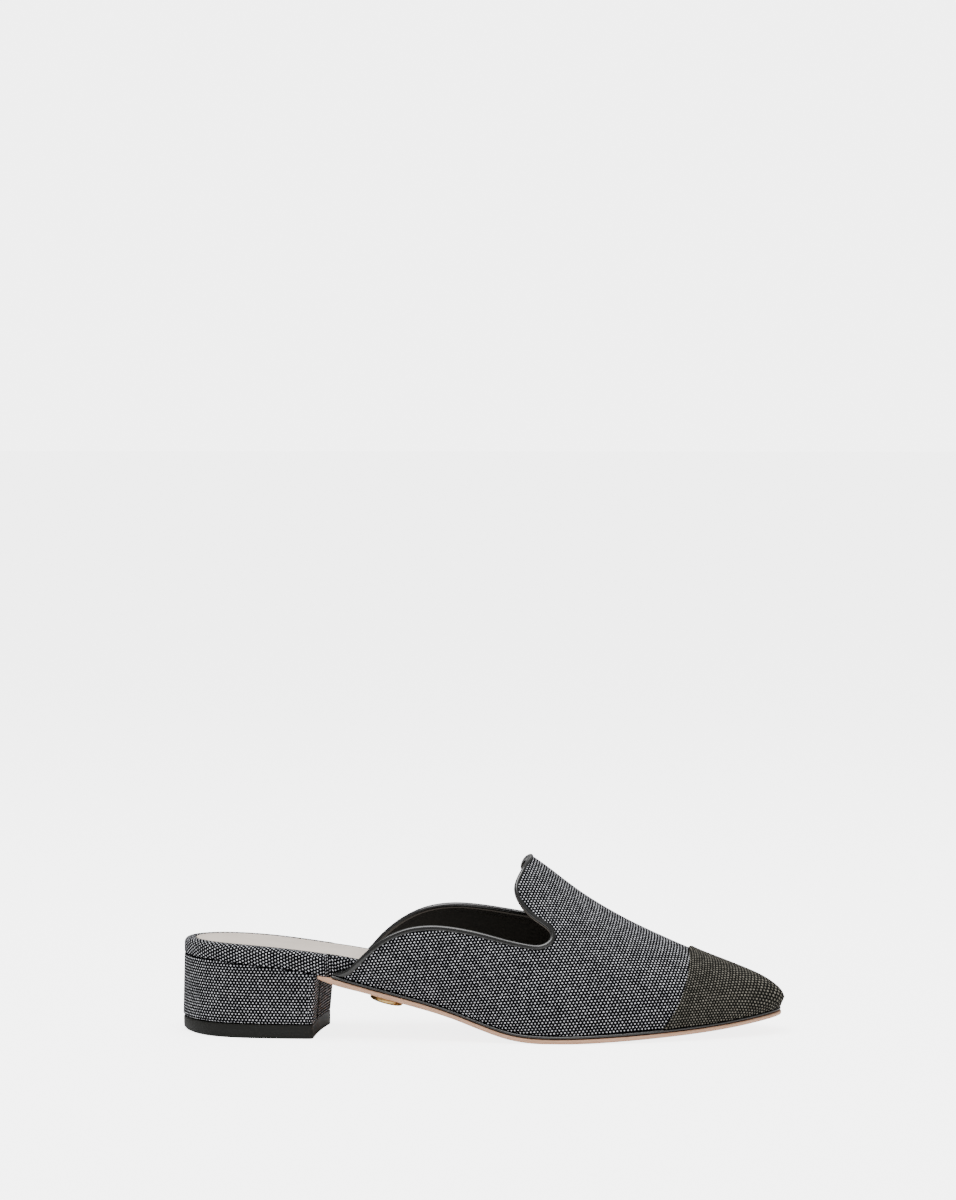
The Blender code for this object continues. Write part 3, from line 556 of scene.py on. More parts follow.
def lifted(skin, sign, rib, reach, offset):
    """Return grid points moved off the surface by an offset for each spot."""
    flat_rib, flat_reach = rib.ravel(), reach.ravel()
    points = skin.at(sign, flat_rib, flat_reach)
    normals = skin.normals(sign, flat_rib, flat_reach)
    offset = np.broadcast_to(np.asarray(offset, dtype=float), rib.shape).reshape(-1, 1)
    moved = points + normals * offset
    base = np.interp(flat_rib, np.arange(RIB_COUNT + 1), skin.sides[sign]["base"])
    moved[:, 2] = np.where(flat_reach > 0.999, base, np.maximum(moved[:, 2], base))
    return moved.reshape(rib.shape + (3,))


def both_sides(skin, lines, offsets, rows):
    """Join the grids of both sides into one, from the lateral rear to the medial rear.

    Each offset is a function that gives the distance off the surface at places along.
    """
    grids = []
    for sign in (-1, 1):
        rib, reach = grid_on_skin(skin, sign, lines[sign][0], lines[sign][1], rows)
        along = skin.plan(sign, rib.ravel(), reach.ravel())[:, 0].reshape(rib.shape)
        levels = [lifted(skin, sign, rib, reach, offset(along)) for offset in offsets]
        grids.append(levels)
    joined = []
    for level in range(len(offsets)):
        lateral, medial = grids[0][level], grids[1][level]
        joined.append(np.vstack([lateral, medial[::-1][1:]]))
    return joined


def resampled(skin, sign, rib, reach, shares):
    """Space a line of spots evenly by its length in space, at given shares."""
    length = lengths(skin.at(sign, rib, reach))
    at = np.asarray(shares) * length[-1]
    return np.interp(at, length, rib), np.interp(at, length, reach)


def topline(skin, sign, count):
    """Return the spots of the finished topline on one side, sole's edge first."""
    return skin.side_view(sign, TOPLINE_LATERAL if sign < 0 else TOPLINE_MEDIAL, count)


def topline_shares():
    """Shares of the topline at which the columns start, close together in the notch."""
    even = np.linspace(0.0, 1.0, COLUMN_COUNT)
    return np.interp(even, (0.0, 0.34, 0.74, 1.0), (0.0, 0.50, 0.73, 1.0))


def edge_columns(skin, sign, line, distance):
    """Return the spots where the columns meet a line run beside the topline.

    Each column keeps its place along the topline, save the first few: they close up
    where the moved line leaves the feather.
    """
    length = lengths(skin.at(sign, *line))
    order = np.arange(len(length))
    at = np.interp(topline_shares() * length[-1], length, order)
    rib, reach = skin.moved(sign, *line, distance) if np.max(distance) > 0.0 else line
    first = int(np.nonzero(reach < 1.0)[0][0])
    if first > 1:
        leave = first - 1 + (reach[first - 1] - 1.0) / (reach[first - 1] - reach[first])
        at = at + leave * np.clip(1.0 - at / (3.0 * leave), 0.0, 1.0)
    rib, reach = np.interp(at, order, rib), np.interp(at, order, reach)
    reach[0], reach[-1] = 1.0, 0.0
    return rib, reach


def cap_seam(skin, sign, count):
    """Return the spots of the toe cap's straight edge, from the feather to the ridge."""
    side = skin.sides[sign]
    index = np.arange(RIB_COUNT + 1)
    rib = np.linspace(0.0, RIB_COUNT, 1200)
    along = np.interp(rib, index, side["along"])
    across = np.interp(rib, index, side["across"])
    reach_out = np.abs(across - RIDGE_ACROSS)
    share = np.linspace(1.0, 0.0, count)
    foot = along - CAP_SEAM_ALONG + CAP_SEAM_SWEEP
    start = np.interp(0.0, foot, reach_out)
    y = RIDGE_ACROSS + sign * start * share
    x = CAP_SEAM_ALONG + CAP_SEAM_BOW * share * (1.0 - share) - CAP_SEAM_SWEEP * share ** 2.5
    return skin.spot(sign, np.column_stack([x, y]))


def paired_outline(points, start, count, extra=()):
    """Sample an outline at shared places along it, with ties across from side to side.

    start gives the first place along for the lateral and the medial side; None keeps
    the rounded back. Samples bunch where the outline turns; extra adds some places.
    """
    lateral, medial = halves(points)
    share = np.linspace(0.0, 1.0, count)
    sides = []
    for line, place in zip((lateral, medial), start or (None, None)):
        tip = line[-1, 0]
        if place is None:
            along = line[0, 0] + (tip - line[0, 0]) * (1.0 - np.cos(math.pi * share)) / 2.0
        else:
            along = place + (tip - place) * np.sin(math.pi / 2.0 * share)
        along = np.sort(np.concatenate([along, extra]))
        sides.append(np.column_stack([along, np.interp(along, line[:, 0], line[:, 1])]))
    count = len(sides[0])
    if start is None:
        loop = np.vstack([sides[0], sides[1][-2:0:-1]])
        total = len(loop)
        ties = [(i, (total - i) % total) for i in range(count)]
    else:
        loop = np.vstack([sides[0], sides[1][-2::-1]])
        total = len(loop)
        ties = [(i, total - 1 - i) for i in range(count)]
    return loop, ties


def breast_line(across):
    """Place along of the heel's breast at places across; its medial end lies ahead."""
    return BREAST_ALONG + BREAST_SLANT * (np.asarray(across) + 0.030)


def inside_share(x):
    """How far the footbed has stepped inside the upper: 0 at the bare heel, then 1."""
    share = np.clip((x - FOOTBED_STEP[0]) / (FOOTBED_STEP[-1] - FOOTBED_STEP[0]), 0.0, 1.0)
    return share * share * (3.0 - 2.0 * share)


def rim_inset(x, distance):
    """Inset of a line on the footbed's rim, which narrows by as much as the side steps in."""
    share = inside_share(x)
    return FOOTBED_INSET * share + distance * (1.0 - share * FOOTBED_INSET / SOCK_MARGIN)


def heel_outline(distance):
    """Outline of the heel in plan: the sole's back, two rounded corners and the breast."""
    outline = inset(whole_outline(), distance)
    lateral, medial = halves(outline)
    radius = BREAST_RADIUS
    ends = []
    for line in (lateral, medial):
        gap = line[:, 0] - breast_line(line[:, 1])
        ahead = np.nonzero(gap > -radius)[0][0]
        ends.append(line[:ahead])
    lateral, medial = ends
    back = spread(np.vstack([lateral[::-1], medial[1:]]), np.linspace(0.0, 1.0, HEEL_BACK_POINTS))
    corners = []
    for end, sign in ((back[-1], 1), (back[0], -1)):
        face = np.array([breast_line(end[1] - sign * radius), end[1] - sign * radius])
        sharp = np.array([breast_line(end[1]), end[1]])
        for share in np.linspace(0.0, 1.0, 12)[1:-1]:
            back_share = 1.0 - share
            corners.append(back_share ** 2 * end + 2.0 * share * back_share * sharp + share ** 2 * face)
        corners.append(face)
    half = len(corners) // 2
    medial_turn = corners[:half]
    lateral_turn = corners[half:][::-1]
    breast = []
    for share in np.linspace(0.0, 1.0, BREAST_POINTS)[1:-1]:
        y = medial_turn[-1][1] * (1.0 - share) + lateral_turn[0][1] * share
        hollow = BREAST_HOLLOW * 4.0 * share * (1.0 - share)
        breast.append(np.array([breast_line(y) - hollow, y]))
    return np.array(list(back) + medial_turn + breast + lateral_turn)


def heel_loop(share, distance, height=None):
    """One level of the heel: share 0 is its top under the seam, 1 its foot on the tip."""
    loop = heel_outline(distance)
    x, y = loop[:, 0].copy(), loop[:, 1].copy()
    middle = np.array([ORIGIN_ALONG, ORIGIN_ACROSS])
    back = np.clip(1.0 - x / (1.3 * ORIGIN_ALONG), 0.0, 1.0)
    front = np.clip((x - 0.045) / 0.015, 0.0, 1.0)
    x = x - HEEL_FLARE * share * back - 0.0018 * share * front
    y = middle[1] + (y - middle[1]) * (1.0 - 0.045 * share)
    top = seam_height(x) - GAP
    foot = TIP_HEIGHT + GAP
    z = top * (1.0 - share) + foot * share if height is None else np.full(len(x), height)
    return np.column_stack([x, y, z])


def heel_body(name, loops, look, level_rows=False):
    """Close heel loops, tied across from side to side and then along the breast."""
    arc = HEEL_BACK_POINTS
    ties = [(i, arc - 1 - i) for i in range(arc // 2)]
    front = list(range(arc - 1, len(loops[0]))) + [0]
    return ringed(name, loops, ties, look, front, level_rows=level_rows)


def sole_start(outline):
    """Where the outsole's lateral and medial edges leave the heel's breast."""
    first = []
    for line in halves(outline):
        gap = line[:, 0] - breast_line(line[:, 1]) - 2.0 * GAP
        ahead = np.nonzero(gap > 0.0)[0][0]
        first.append(line[ahead, 0])
    return first


def sole_loop(loop, depth, belly):
    """One ring of the outsole: depth 0 is its top, 1 its underside, with a full waist."""
    x, y = loop[:, 0], loop[:, 1]
    top = seam_height(x)
    sink = (top - underside_height(x)) * depth
    hump = np.clip(np.sin(np.clip((x / SHOE_LENGTH - 0.22) / 0.33, 0.0, 1.0) * math.pi), 0.0, 1.0)
    return np.column_stack([x, y, top - sink - belly * SOLE_BELLY * hump])


def stud_seat():
    """Centre of the stud's seat under the waist and the turn that lays it there."""
    rise = underside_height(STUD_ALONG + 0.004) - underside_height(STUD_ALONG - 0.004)
    slope = math.atan(rise / 0.008)
    belly = SOLE_BELLY * math.sin((STUD_ALONG / SHOE_LENGTH - 0.22) / 0.33 * math.pi)
    centre = Vector((STUD_ALONG, STUD_ACROSS, float(underside_height(STUD_ALONG)) - belly - GAP))
    return centre, Matrix.Rotation(-slope, 3, "Y")


class Wire:
    """A node's output that takes part in Python arithmetic."""

    def __init__(self, tree, socket):
        self.tree = tree
        self.socket = socket

    def maths(self, operation, *others):
        """Add one Math node on this value and up to two more."""
        values = {index: item for index, item in enumerate((self,) + others)}
        return add(self.tree, "ShaderNodeMath", {"operation": operation}, values)

    def __add__(self, other):
        return self.maths("ADD", other)

    def __sub__(self, other):
        return self.maths("SUBTRACT", other)

    def __rsub__(self, other):
        return (self * -1.0) + other

    def __mul__(self, other):
        return self.maths("MULTIPLY", other)

    def __truediv__(self, other):
        return self.maths("DIVIDE", other)

    def __pow__(self, other):
        return self.maths("POWER", other)

    __radd__ = __add__
    __rmul__ = __mul__

    def floor(self):
        """The whole number below."""
        return self.maths("FLOOR")

    def root(self):
        """The square root."""
        return self.maths("SQRT")

    def most(self, other):
        """The larger of two values."""
        return self.maths("MAXIMUM", other)

    def fade(self, start, end):
        """0 up to start and 1 from end on, with a soft run between; end may lie below start."""
        values = {"Value": self, "From Min": start, "From Max": end}
        return add(self.tree, "ShaderNodeMapRange", {"interpolation_type": "SMOOTHSTEP"}, values)

    def out(self, name):
        """Another output of the same node."""
        return Wire(self.tree, self.socket.node.outputs[name])


def add(tree, kind, settings=None, values=None, output=0):
    """Add a node, set its settings, then its sockets; return the chosen output."""
    node = tree.nodes.new(kind)
    for name, setting in (settings or {}).items():
        if name == "stops":
            ramp = node.color_ramp.elements
            while len(ramp) < len(setting):
                ramp.new(0.5)
            for stop, (place, colour) in zip(ramp, setting):
                stop.position = place
                stop.color = (*colour, 1.0)
        else:
            setattr(node, name, setting)
    for name, value in (values or {}).items():
        socket = node.inputs[name]
        if isinstance(value, Wire):
            tree.links.new(value.socket, socket)
        elif isinstance(value, (tuple, list)) and len(value) == 3 and socket.type == "RGBA":
            socket.default_value = (*value, 1.0)
        else:
            socket.default_value = value
    return Wire(tree, node.outputs[output]) if node.outputs else node


def mixed(tree, share, first, second):
    """Mix two colours."""
    values = {"Factor": share, COLOUR_A: first, COLOUR_B: second}
    return add(tree, "ShaderNodeMix", {"data_type": "RGBA"}, values, COLOUR_RESULT)


def finish(name, build, roughness=0.5, metallic=0.0, shine=0.5):
    """Make a material: build adds the nodes and returns what feeds the shader's sockets."""
    made = bpy.data.materials.new(name)
    made.use_nodes = True
    tree = made.node_tree
    shader = tree.nodes["Principled BSDF"]
    shader.inputs["Roughness"].default_value = roughness
    shader.inputs["Metallic"].default_value = metallic
    shader.inputs["Specular IOR Level"].default_value = shine
    for socket, wire in build(tree).items():
        tree.links.new(wire.socket, shader.inputs[socket])
    return made


def bumped(tree, height, strength, distance):
    """Turn a height into a normal."""
    values = {"Strength": strength, "Distance": distance, "Height": height}
    return add(tree, "ShaderNodeBump", None, values)


def noise(tree, place, scale, detail=2.0, roughness=0.5):
    """Soft noise at a place."""
    values = {"Vector": place, "Scale": scale, "Detail": detail, "Roughness": roughness}
    return add(tree, "ShaderNodeTexNoise", None, values)


def object_place(tree):
    """Place on the piece, in metres."""
    return add(tree, "ShaderNodeTexCoord", output="Object")


def cloth_place(tree, turn=0.0, stretch=(1.0, 1.0, 1.0)):
    """The two distances along the surface, in metres, stretched, then turned in degrees."""
    place = add(tree, "ShaderNodeUVMap", {"uv_map": "weave"})
    values = {"Vector": place, "Rotation": (0.0, 0.0, math.radians(turn)), "Scale": stretch}
    return add(tree, "ShaderNodeMapping", None, values)


def woven_cloth(name, look, turn=0.0):
    """Two-colour canvas: thick pale yarns cross dark ones, each crossing a small dome."""

    def build(tree):
        place = cloth_place(tree, turn)
        stray = noise(tree, place, 260.0, 2.0)
        parts = add(tree, "ShaderNodeSeparateXYZ", None, {"Vector": place})
        along = parts + (stray - 0.5) * (look.dot_pitch * STRAY_ALONG)
        up = parts.out("Y") + (stray.out("Color") - 0.5) * (look.row_pitch * STRAY_UP)
        rows = up / look.row_pitch
        row = rows.floor()
        odd = row.maths("FLOORED_MODULO", 2.0)
        cells = along / look.dot_pitch + odd * 0.5
        cell = cells.floor()
        seat = add(tree, "ShaderNodeCombineXYZ", None, {"X": cell, "Y": row, "Z": 3.0})
        chance = add(tree, "ShaderNodeTexWhiteNoise", {"noise_dimensions": "3D"}, {"Vector": seat})
        across = (cells - cell - 0.5) * 2.0
        rise = (rows - row - 0.5) * 2.0
        width = look.dot_width * (0.85 + chance.out("Value") * 0.3)
        pale = ((across / width) ** 2.0 + (rise / look.dot_height) ** 2.0).root()
        far = 1.0 - across.maths("ABSOLUTE")
        dark = ((far / (1.0 - look.dot_width * 0.55)) ** 2.0 + (rise / 0.95) ** 2.0).root()
        fibre = noise(tree, place, 9000.0, 1.0)
        dot = pale.fade(1.08, 0.62)
        glow = dot * (0.58 + chance.out("Value") * 0.42) * (0.85 + fibre * 0.3)
        wear = noise(tree, place, 55.0, 3.0)
        colour = mixed(tree, glow, tuple(look.ground), tuple(look.dot))
        shade = 0.80 + wear * 0.40
        values = {0: colour, "Scale": shade}
        toned = add(tree, "ShaderNodeVectorMath", {"operation": "SCALE"}, values)
        dome = (1.0 - pale * pale * 0.8).most(0.0).root()
        dark_dome = (1.0 - dark * dark * 0.8).most(0.0).root() * 0.8
        height = dome.most(dark_dome) + fibre * 0.15
        normal = bumped(tree, height, 0.7, look.dot_pitch * DOME_HEIGHT)
        return {"Base Color": toned, "Normal": normal, "Roughness": 0.94 - dot * 0.12}

    return finish(name, build, 0.9, shine=0.12)


def grained_leather(name, colour, roughness, scale, depth, tint=0.25, shine=0.3):
    """Fine-grained leather with a slight change of shade and sheen."""

    def build(tree):
        place = object_place(tree)
        grain = add(tree, "ShaderNodeTexVoronoi", {"feature": "SMOOTH_F1"},
                    {"Vector": place, "Scale": scale, "Smoothness": 0.7})
        soft = noise(tree, place, 90.0, 3.0)
        fine = noise(tree, place, scale * 2.2, 2.0)
        dark = tuple(part * (1.0 - tint) for part in colour)
        tone = mixed(tree, soft.fade(0.3, 0.7), dark, tuple(colour))
        height = grain * 0.7 + fine * 0.5
        return {"Base Color": tone, "Roughness": roughness + (soft - 0.5) * 0.2,
                "Normal": bumped(tree, height, 0.35, depth)}

    return finish(name, build, roughness, shine=shine)


def sole_leather(name, look):
    """Natural sole leather: its cut edge shows long fibres in pale and rosy streaks."""

    def build(tree):
        streak = noise(tree, cloth_place(tree, 0.0, (60.0, 2600.0, 1.0)), 1.0, 4.0, 0.6)
        patch = noise(tree, object_place(tree), 70.0, 3.0)
        tone = mixed(tree, streak.fade(0.35, 0.65), tuple(look.edge_deep), tuple(look.edge_pale))
        toned = mixed(tree, patch.fade(0.35, 0.75) * 0.35, tone, tuple(look.edge_rosy))
        return {"Base Color": toned, "Roughness": 0.5 + streak * 0.2,
                "Normal": bumped(tree, streak, 0.3, 0.00012)}

    return finish(name, build, 0.55)


def polished_gold(name, look):
    """Yellow metal turned on a lathe, with faint rings left by the tool."""

    def build(tree):
        ring = noise(tree, cloth_place(tree, 0.0, (40.0, 9000.0, 1.0)), 1.0, 2.0)
        worn = noise(tree, object_place(tree), 400.0, 3.0)
        deep = tuple(part * 0.75 for part in look.metal)
        tone = mixed(tree, worn.fade(0.35, 0.7), deep, tuple(look.metal))
        return {"Base Color": tone, "Roughness": 0.18 + worn * 0.2,
                "Normal": bumped(tree, ring, 0.15, 0.00005)}

    return finish(name, build, 0.25, 1.0)


def studio_floor(name, colour, glow):
    """A matt pale floor that looks as bright as the backdrop, with soft shadows left on it."""

    def build(tree):
        soft = noise(tree, object_place(tree), 3.0, 2.0)
        dark = tuple(part * 0.985 for part in colour)
        sockets = tree.nodes["Principled BSDF"].inputs
        seen = add(tree, "ShaderNodeLightPath")
        tree.links.new((seen * glow).socket, sockets["Emission Strength"])
        sockets["Emission Color"].default_value = (1.0, 1.0, 1.0, 1.0)
        return {"Base Color": mixed(tree, soft, dark, tuple(colour))}

    return finish(name, build, 0.9, shine=0.0)


def piece(name, vertices, faces, corners, look, sharp=SHARP_EDGE):
    """Make one closed piece from points in the shoe's frame and the cloth places of corners."""
    mesh = bpy.data.meshes.new(name)
    mesh.from_pydata([tuple(point) for point in vertices], [], [tuple(face) for face in faces])
    layer = mesh.uv_layers.new(name="weave")
    layer.data.foreach_set("uv", np.array(corners, dtype=np.float32).ravel())
    shape = bmesh.new()
    shape.from_mesh(mesh)
    bmesh.ops.remove_doubles(shape, verts=shape.verts, dist=2e-6)
    bmesh.ops.dissolve_degenerate(shape, edges=shape.edges, dist=2e-6)
    bmesh.ops.recalc_face_normals(shape, faces=shape.faces)
    if shape.calc_volume(signed=True) < 0.0:
        bmesh.ops.reverse_faces(shape, faces=shape.faces)
    shape.to_mesh(mesh)
    shape.free()
    mesh.materials.append(look)
    mesh.shade_smooth()
    mesh.set_sharp_from_angle(angle=math.radians(sharp))
    made = bpy.data.objects.new(name, mesh)
    bpy.context.scene.collection.objects.link(made)
    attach(made, "root")
    return made


def in_frame(points):
    """Move points measured from the heel's back into the shoe's frame."""
    return np.asarray(points) - (ORIGIN_ALONG, ORIGIN_ACROSS, 0.0)


def grid_faces(columns, rows):
    """Faces of an open grid whose points run row by row within each column."""
    faces = []
    for i in range(columns - 1):
        for j in range(rows - 1):
            faces.append((i * rows + j, (i + 1) * rows + j, (i + 1) * rows + j + 1, i * rows + j + 1))
    return faces


def flattened(points):
    """Unroll an open grid to a flat pattern in metres, as the cloth was cut."""
    columns, rows = points.shape[:2]
    inner = points[1:-1]
    mesh = bpy.data.meshes.new("pattern")
    mesh.from_pydata(inner.reshape(-1, 3).tolist(), [], grid_faces(columns - 2, rows))
    mesh.uv_layers.new(name="weave")
    made = bpy.data.objects.new("pattern", mesh)
    bpy.context.scene.collection.objects.link(made)
    bpy.context.view_layer.objects.active = made
    made.select_set(True)
    bpy.ops.object.mode_set(mode="EDIT")
    bpy.ops.mesh.select_all(action="SELECT")
    bpy.ops.uv.unwrap(method="ANGLE_BASED", fill_holes=False, correct_aspect=False, margin=0.0)
    bpy.ops.object.mode_set(mode="OBJECT")
    count = len(mesh.loops)
    corner = np.empty(count, dtype=np.int32)
    mesh.loops.foreach_get("vertex_index", corner)
    places = np.empty(count * 2, dtype=np.float32)
    mesh.uv_layers[0].data.foreach_get("uv", places)
    flat = np.empty(((columns - 2) * rows, 2))
    flat[corner] = places.reshape(-1, 2)
    flat = flat.reshape(columns - 2, rows, 2)
    bpy.data.objects.remove(made, do_unlink=True)
    real = np.linalg.norm(np.diff(inner, axis=1), axis=2).sum()
    drawn = np.linalg.norm(np.diff(flat, axis=1), axis=2).sum()
    flat = flat * (real / drawn)
    first = flat[:1] * 2.0 - flat[1:2]
    last = flat[-1:] * 2.0 - flat[-2:-1]
    return np.concatenate([first, flat, last])


def laid(flat, start, end, turned=0.0):
    """Turn a flat pattern so that the line between two of its spots runs along its rows."""
    line = flat[end] - flat[start]
    angle = -math.atan2(line[1], line[0]) + math.radians(turned)
    turn = np.array([[math.cos(angle), math.sin(angle)], [-math.sin(angle), math.cos(angle)]])
    return (flat - flat[start]) @ turn


def wall(name, outer, inner, flat, look, sharp=SHARP_EDGE):
    """Close two matching grids into one wall; flat gives the cloth place of each spot."""
    columns, rows = outer.shape[:2]
    shift = columns * rows
    vertices = in_frame(np.vstack([outer.reshape(-1, 3), inner.reshape(-1, 3)]))
    places = np.vstack([flat.reshape(-1, 2), flat.reshape(-1, 2)])
    faces = grid_faces(columns, rows)
    faces += [tuple(shift + corner for corner in reversed(face)) for face in grid_faces(columns, rows)]
    for i in range(columns - 1):
        for j in (0, rows - 1):
            low, high = i * rows + j, (i + 1) * rows + j
            faces.append((low, high, shift + high, shift + low))
    for i in (0, columns - 1):
        for j in range(rows - 1):
            low = i * rows + j
            faces.append((low, low + 1, shift + low + 1, shift + low))
    corners = places[np.concatenate([np.array(face) for face in faces])]
    return piece(name, vertices, faces, corners, look, sharp)


def tube(name, grid, along, over, look):
    """Close a grid whose rows run all the way round, with a flat face at each end."""
    columns, count = grid.shape[:2]
    faces, corners = [], []
    for i in range(columns - 1):
        for j in range(count):
            k = (j + 1) % count
            faces.append((i * count + j, (i + 1) * count + j, (i + 1) * count + k, i * count + k))
            corners += [(along[i], over[j]), (along[i + 1], over[j]),
                        (along[i + 1], over[j + 1]), (along[i], over[j + 1])]
    for i in (0, columns - 1):
        faces.append(tuple(i * count + j for j in range(count)))
        corners += [(along[i], over[j]) for j in range(count)]
    return piece(name, in_frame(grid.reshape(-1, 3)), faces, corners, look, SHARP_ROUND)


def ringed(name, loops, ties, look, front=None, sharp=SHARP_EDGE, level_rows=False):
    """Close stacked loops into one body, with cloth places round and across them.

    level_rows keeps the rows of the cloth level, where they don't follow the first loop.
    """
    count = len(loops[0])
    vertices = in_frame(np.vstack(loops))
    around = lengths(np.vstack([loops[len(loops) // 2], loops[len(loops) // 2][:1]]))
    across = [np.zeros(count)]
    for low_loop, high_loop in zip(loops[:-1], loops[1:]):
        across.append(across[-1] + np.linalg.norm(high_loop - low_loop, axis=1))
    if level_rows:
        across = [-loop[:, 2] for loop in loops]
    faces, corners = [], []
    for level in range(len(loops) - 1):
        low, high = level * count, (level + 1) * count
        for i in range(count):
            j = (i + 1) % count
            faces.append((low + i, low + j, high + j, high + i))
            corners += [(around[i], across[level][i]), (around[i + 1], across[level][j]),
                        (around[i + 1], across[level + 1][j]), (around[i], across[level + 1][i])]
    for level in (0, len(loops) - 1):
        shift = level * count
        ends = []
        for a, b in zip(ties[:-1], ties[1:]):
            loop = []
            for corner in (a[0], b[0], b[1], a[1]):
                if corner not in loop:
                    loop.append(corner)
            if len(loop) > 2:
                ends.append(loop)
        if front:
            ends.append(list(front))
        for loop in ends:
            faces.append([shift + corner for corner in loop])
            corners += [(loops[level][corner][0], loops[level][corner][1]) for corner in loop]
    return piece(name, vertices, faces, corners, look, sharp)


def binding_reach(count):
    """Width of the binding at points of the topline, which narrows up the tongue."""
    share = np.clip((np.linspace(0.0, 1.0, count) - 0.70) / 0.16, 0.0, 1.0)
    return BINDING_WIDTH * (0.88 - 0.26 * share * share * (3.0 - 2.0 * share))


def upper_grids(skin, offsets, distance):
    """Grids of the upper between the topline, moved in under the binding, and the feather."""
    lines = {}
    shares = topline_shares()
    knots = np.array(COLUMNS)
    for sign in (-1, 1):
        line = topline(skin, sign, TOPLINE_POINTS)
        top = edge_columns(skin, sign, line, binding_reach(TOPLINE_POINTS) * distance)
        feather = np.linspace(top[0][0], RIB_COUNT, 1800), np.ones(1800)
        bottom = resampled(skin, sign, *feather, np.interp(shares, knots[:, 0], knots[:, 1]))
        lines[sign] = (top, bottom)
    return both_sides(skin, lines, offsets, ROW_COUNT)


def evenly(distance):
    """An offset that is the same all over the surface."""
    return lambda along: np.full_like(along, distance)


def upper_cloth(skin, look, settings):
    """The woven body, sunk a little where the cap lies over it."""

    def outside(along):
        return -CAP_BED * np.clip((along - CAP_SEAM_ALONG - 0.002) / 0.012, 0.0, 1.0)

    outer, inner = upper_grids(skin, (outside, evenly(-settings.thickness)), 0.8)
    start = (int(COLUMN_COUNT * 0.45), ROW_COUNT // 2)
    end = (int(COLUMN_COUNT * 0.86), ROW_COUNT // 2)
    flat = laid(flattened(outer), start, end, settings.slope)
    return wall("upper_cloth", outer, inner, flat, look)


def upper_lining(skin, look, settings):
    """The black leather lining, up to the fold of the binding."""
    gap = 0.0001
    outer, inner = upper_grids(skin, (evenly(-settings.thickness - gap), evenly(-UPPER_WALL)), 0.8)
    return wall("upper_lining", outer, inner, flattened(outer), look)


def binding(skin, look):
    """The bound edge of the opening: a folded band, full over the cut edge of the cloth."""
    section = (
        ("down", "out"),
        (1.00, -0.30),
        (1.00, 0.10),
        (0.94, 0.34),
        (0.80, 0.46),
        (0.58, 0.50),
        (0.36, 0.46),
        (0.18, 0.30),
        (0.06, -0.05),
        (0.00, -0.55),
        (0.00, -1.15),
        (0.04, -1.65),
        (0.14, -2.02),
        (0.32, -2.26),
        (0.58, -2.34),
        (0.84, -2.30),
        (0.98, -2.18),
        (1.00, -1.95),
        (1.00, -1.70),
    )
    rows = section[1:]
    loops = []
    for down, out in rows:
        both = []
        for sign in (-1, 1):
            line = topline(skin, sign, TOPLINE_POINTS)
            rib, reach = edge_columns(skin, sign, line, binding_reach(TOPLINE_POINTS) * down)
            both.append(lifted(skin, sign, rib[:, None], reach[:, None], out * 0.001)[:, 0])
        loops.append(np.vstack([both[0], both[1][::-1][1:]]))
    grid = np.stack(loops, axis=1)
    over = lengths(grid[len(grid) // 4])
    over = np.append(over, over[-1] + 0.001)
    return tube("binding", grid, lengths(grid[:, 4]), over, look)


def cap_cloth(skin, look, settings):
    """The toe cap, its back edge turned under and pressed into a soft fold."""
    lines, seams = {}, {}
    shares = np.linspace(0.0, 1.0, 90)
    for sign in (-1, 1):
        rib, reach = cap_seam(skin, sign, 400)
        reach[0] = 1.0
        seams[sign] = skin.at(sign, rib, reach)
        top = resampled(skin, sign, rib, reach, shares)
        feather = np.linspace(rib[0], RIB_COUNT, 900), np.ones(900)
        bottom = resampled(skin, sign, *feather, shares)
        lines[sign] = (top, bottom)
    fold = (
        ("from_edge", "height"),
        (0.0000, 0.10),
        (0.0002, 0.72),
        (0.0006, 1.15),
        (0.0012, 1.28),
        (0.0026, 1.22),
        (0.0044, 1.04),
        (0.0070, 1.00),
    )
    grids = []
    for sign in (-1, 1):
        rib, reach = grid_on_skin(skin, sign, *lines[sign], 46, np.linspace(0.0, 1.0, 46) ** 1.8)
        points = skin.at(sign, rib.ravel(), reach.ravel())
        gap = np.array([np.linalg.norm(seams[sign] - point, axis=1).min() for point in points])
        height = np.interp(gap, [row[0] for row in fold[1:]], [row[1] for row in fold[1:]])
        top = lifted(skin, sign, rib, reach, (GAP + CAP_WALL * height).reshape(rib.shape))
        base = lifted(skin, sign, rib, reach, GAP * np.minimum(1.0, height).reshape(rib.shape))
        grids.append((top, base))
    outer = np.vstack([grids[0][0], grids[1][0][::-1][1:]])
    inner = np.vstack([grids[0][1], grids[1][1][::-1][1:]])
    flat = laid(flattened(outer), (20, 45), (50, 45), settings.cap_slope)
    return wall("cap_cloth", outer, inner, flat, look, SHARP_CAP)


def sole(look):
    """The leather outsole: a straight cut edge, softened at its corners, and a full waist."""
    outline = whole_outline()
    first = sole_start(outline)
    steps = (
        ("inset", "depth", "belly"),
        (0.0030, 0.00, 0.00),
        (0.0009, 0.00, 0.00),
        (0.0003, 0.04, 0.00),
        (0.0000, 0.18, 0.00),
        (0.0000, 0.50, 0.00),
        (0.0000, 0.78, 0.00),
        (0.0003, 0.93, 0.00),
        (0.0010, 1.00, 0.02),
        (0.0030, 1.00, 0.22),
        (0.0060, 1.00, 0.45),
        (0.0095, 1.00, 0.70),
        (0.0130, 1.00, 0.90),
    )
    loops = []
    ties = None
    for distance, depth, belly in steps[1:]:
        loop, ties = paired_outline(inset(outline, distance), first, RING_POINTS, TREAD_ALONG)
        loops.append(sole_loop(loop, depth, belly))
    return ringed("sole_leather", loops, ties, look)


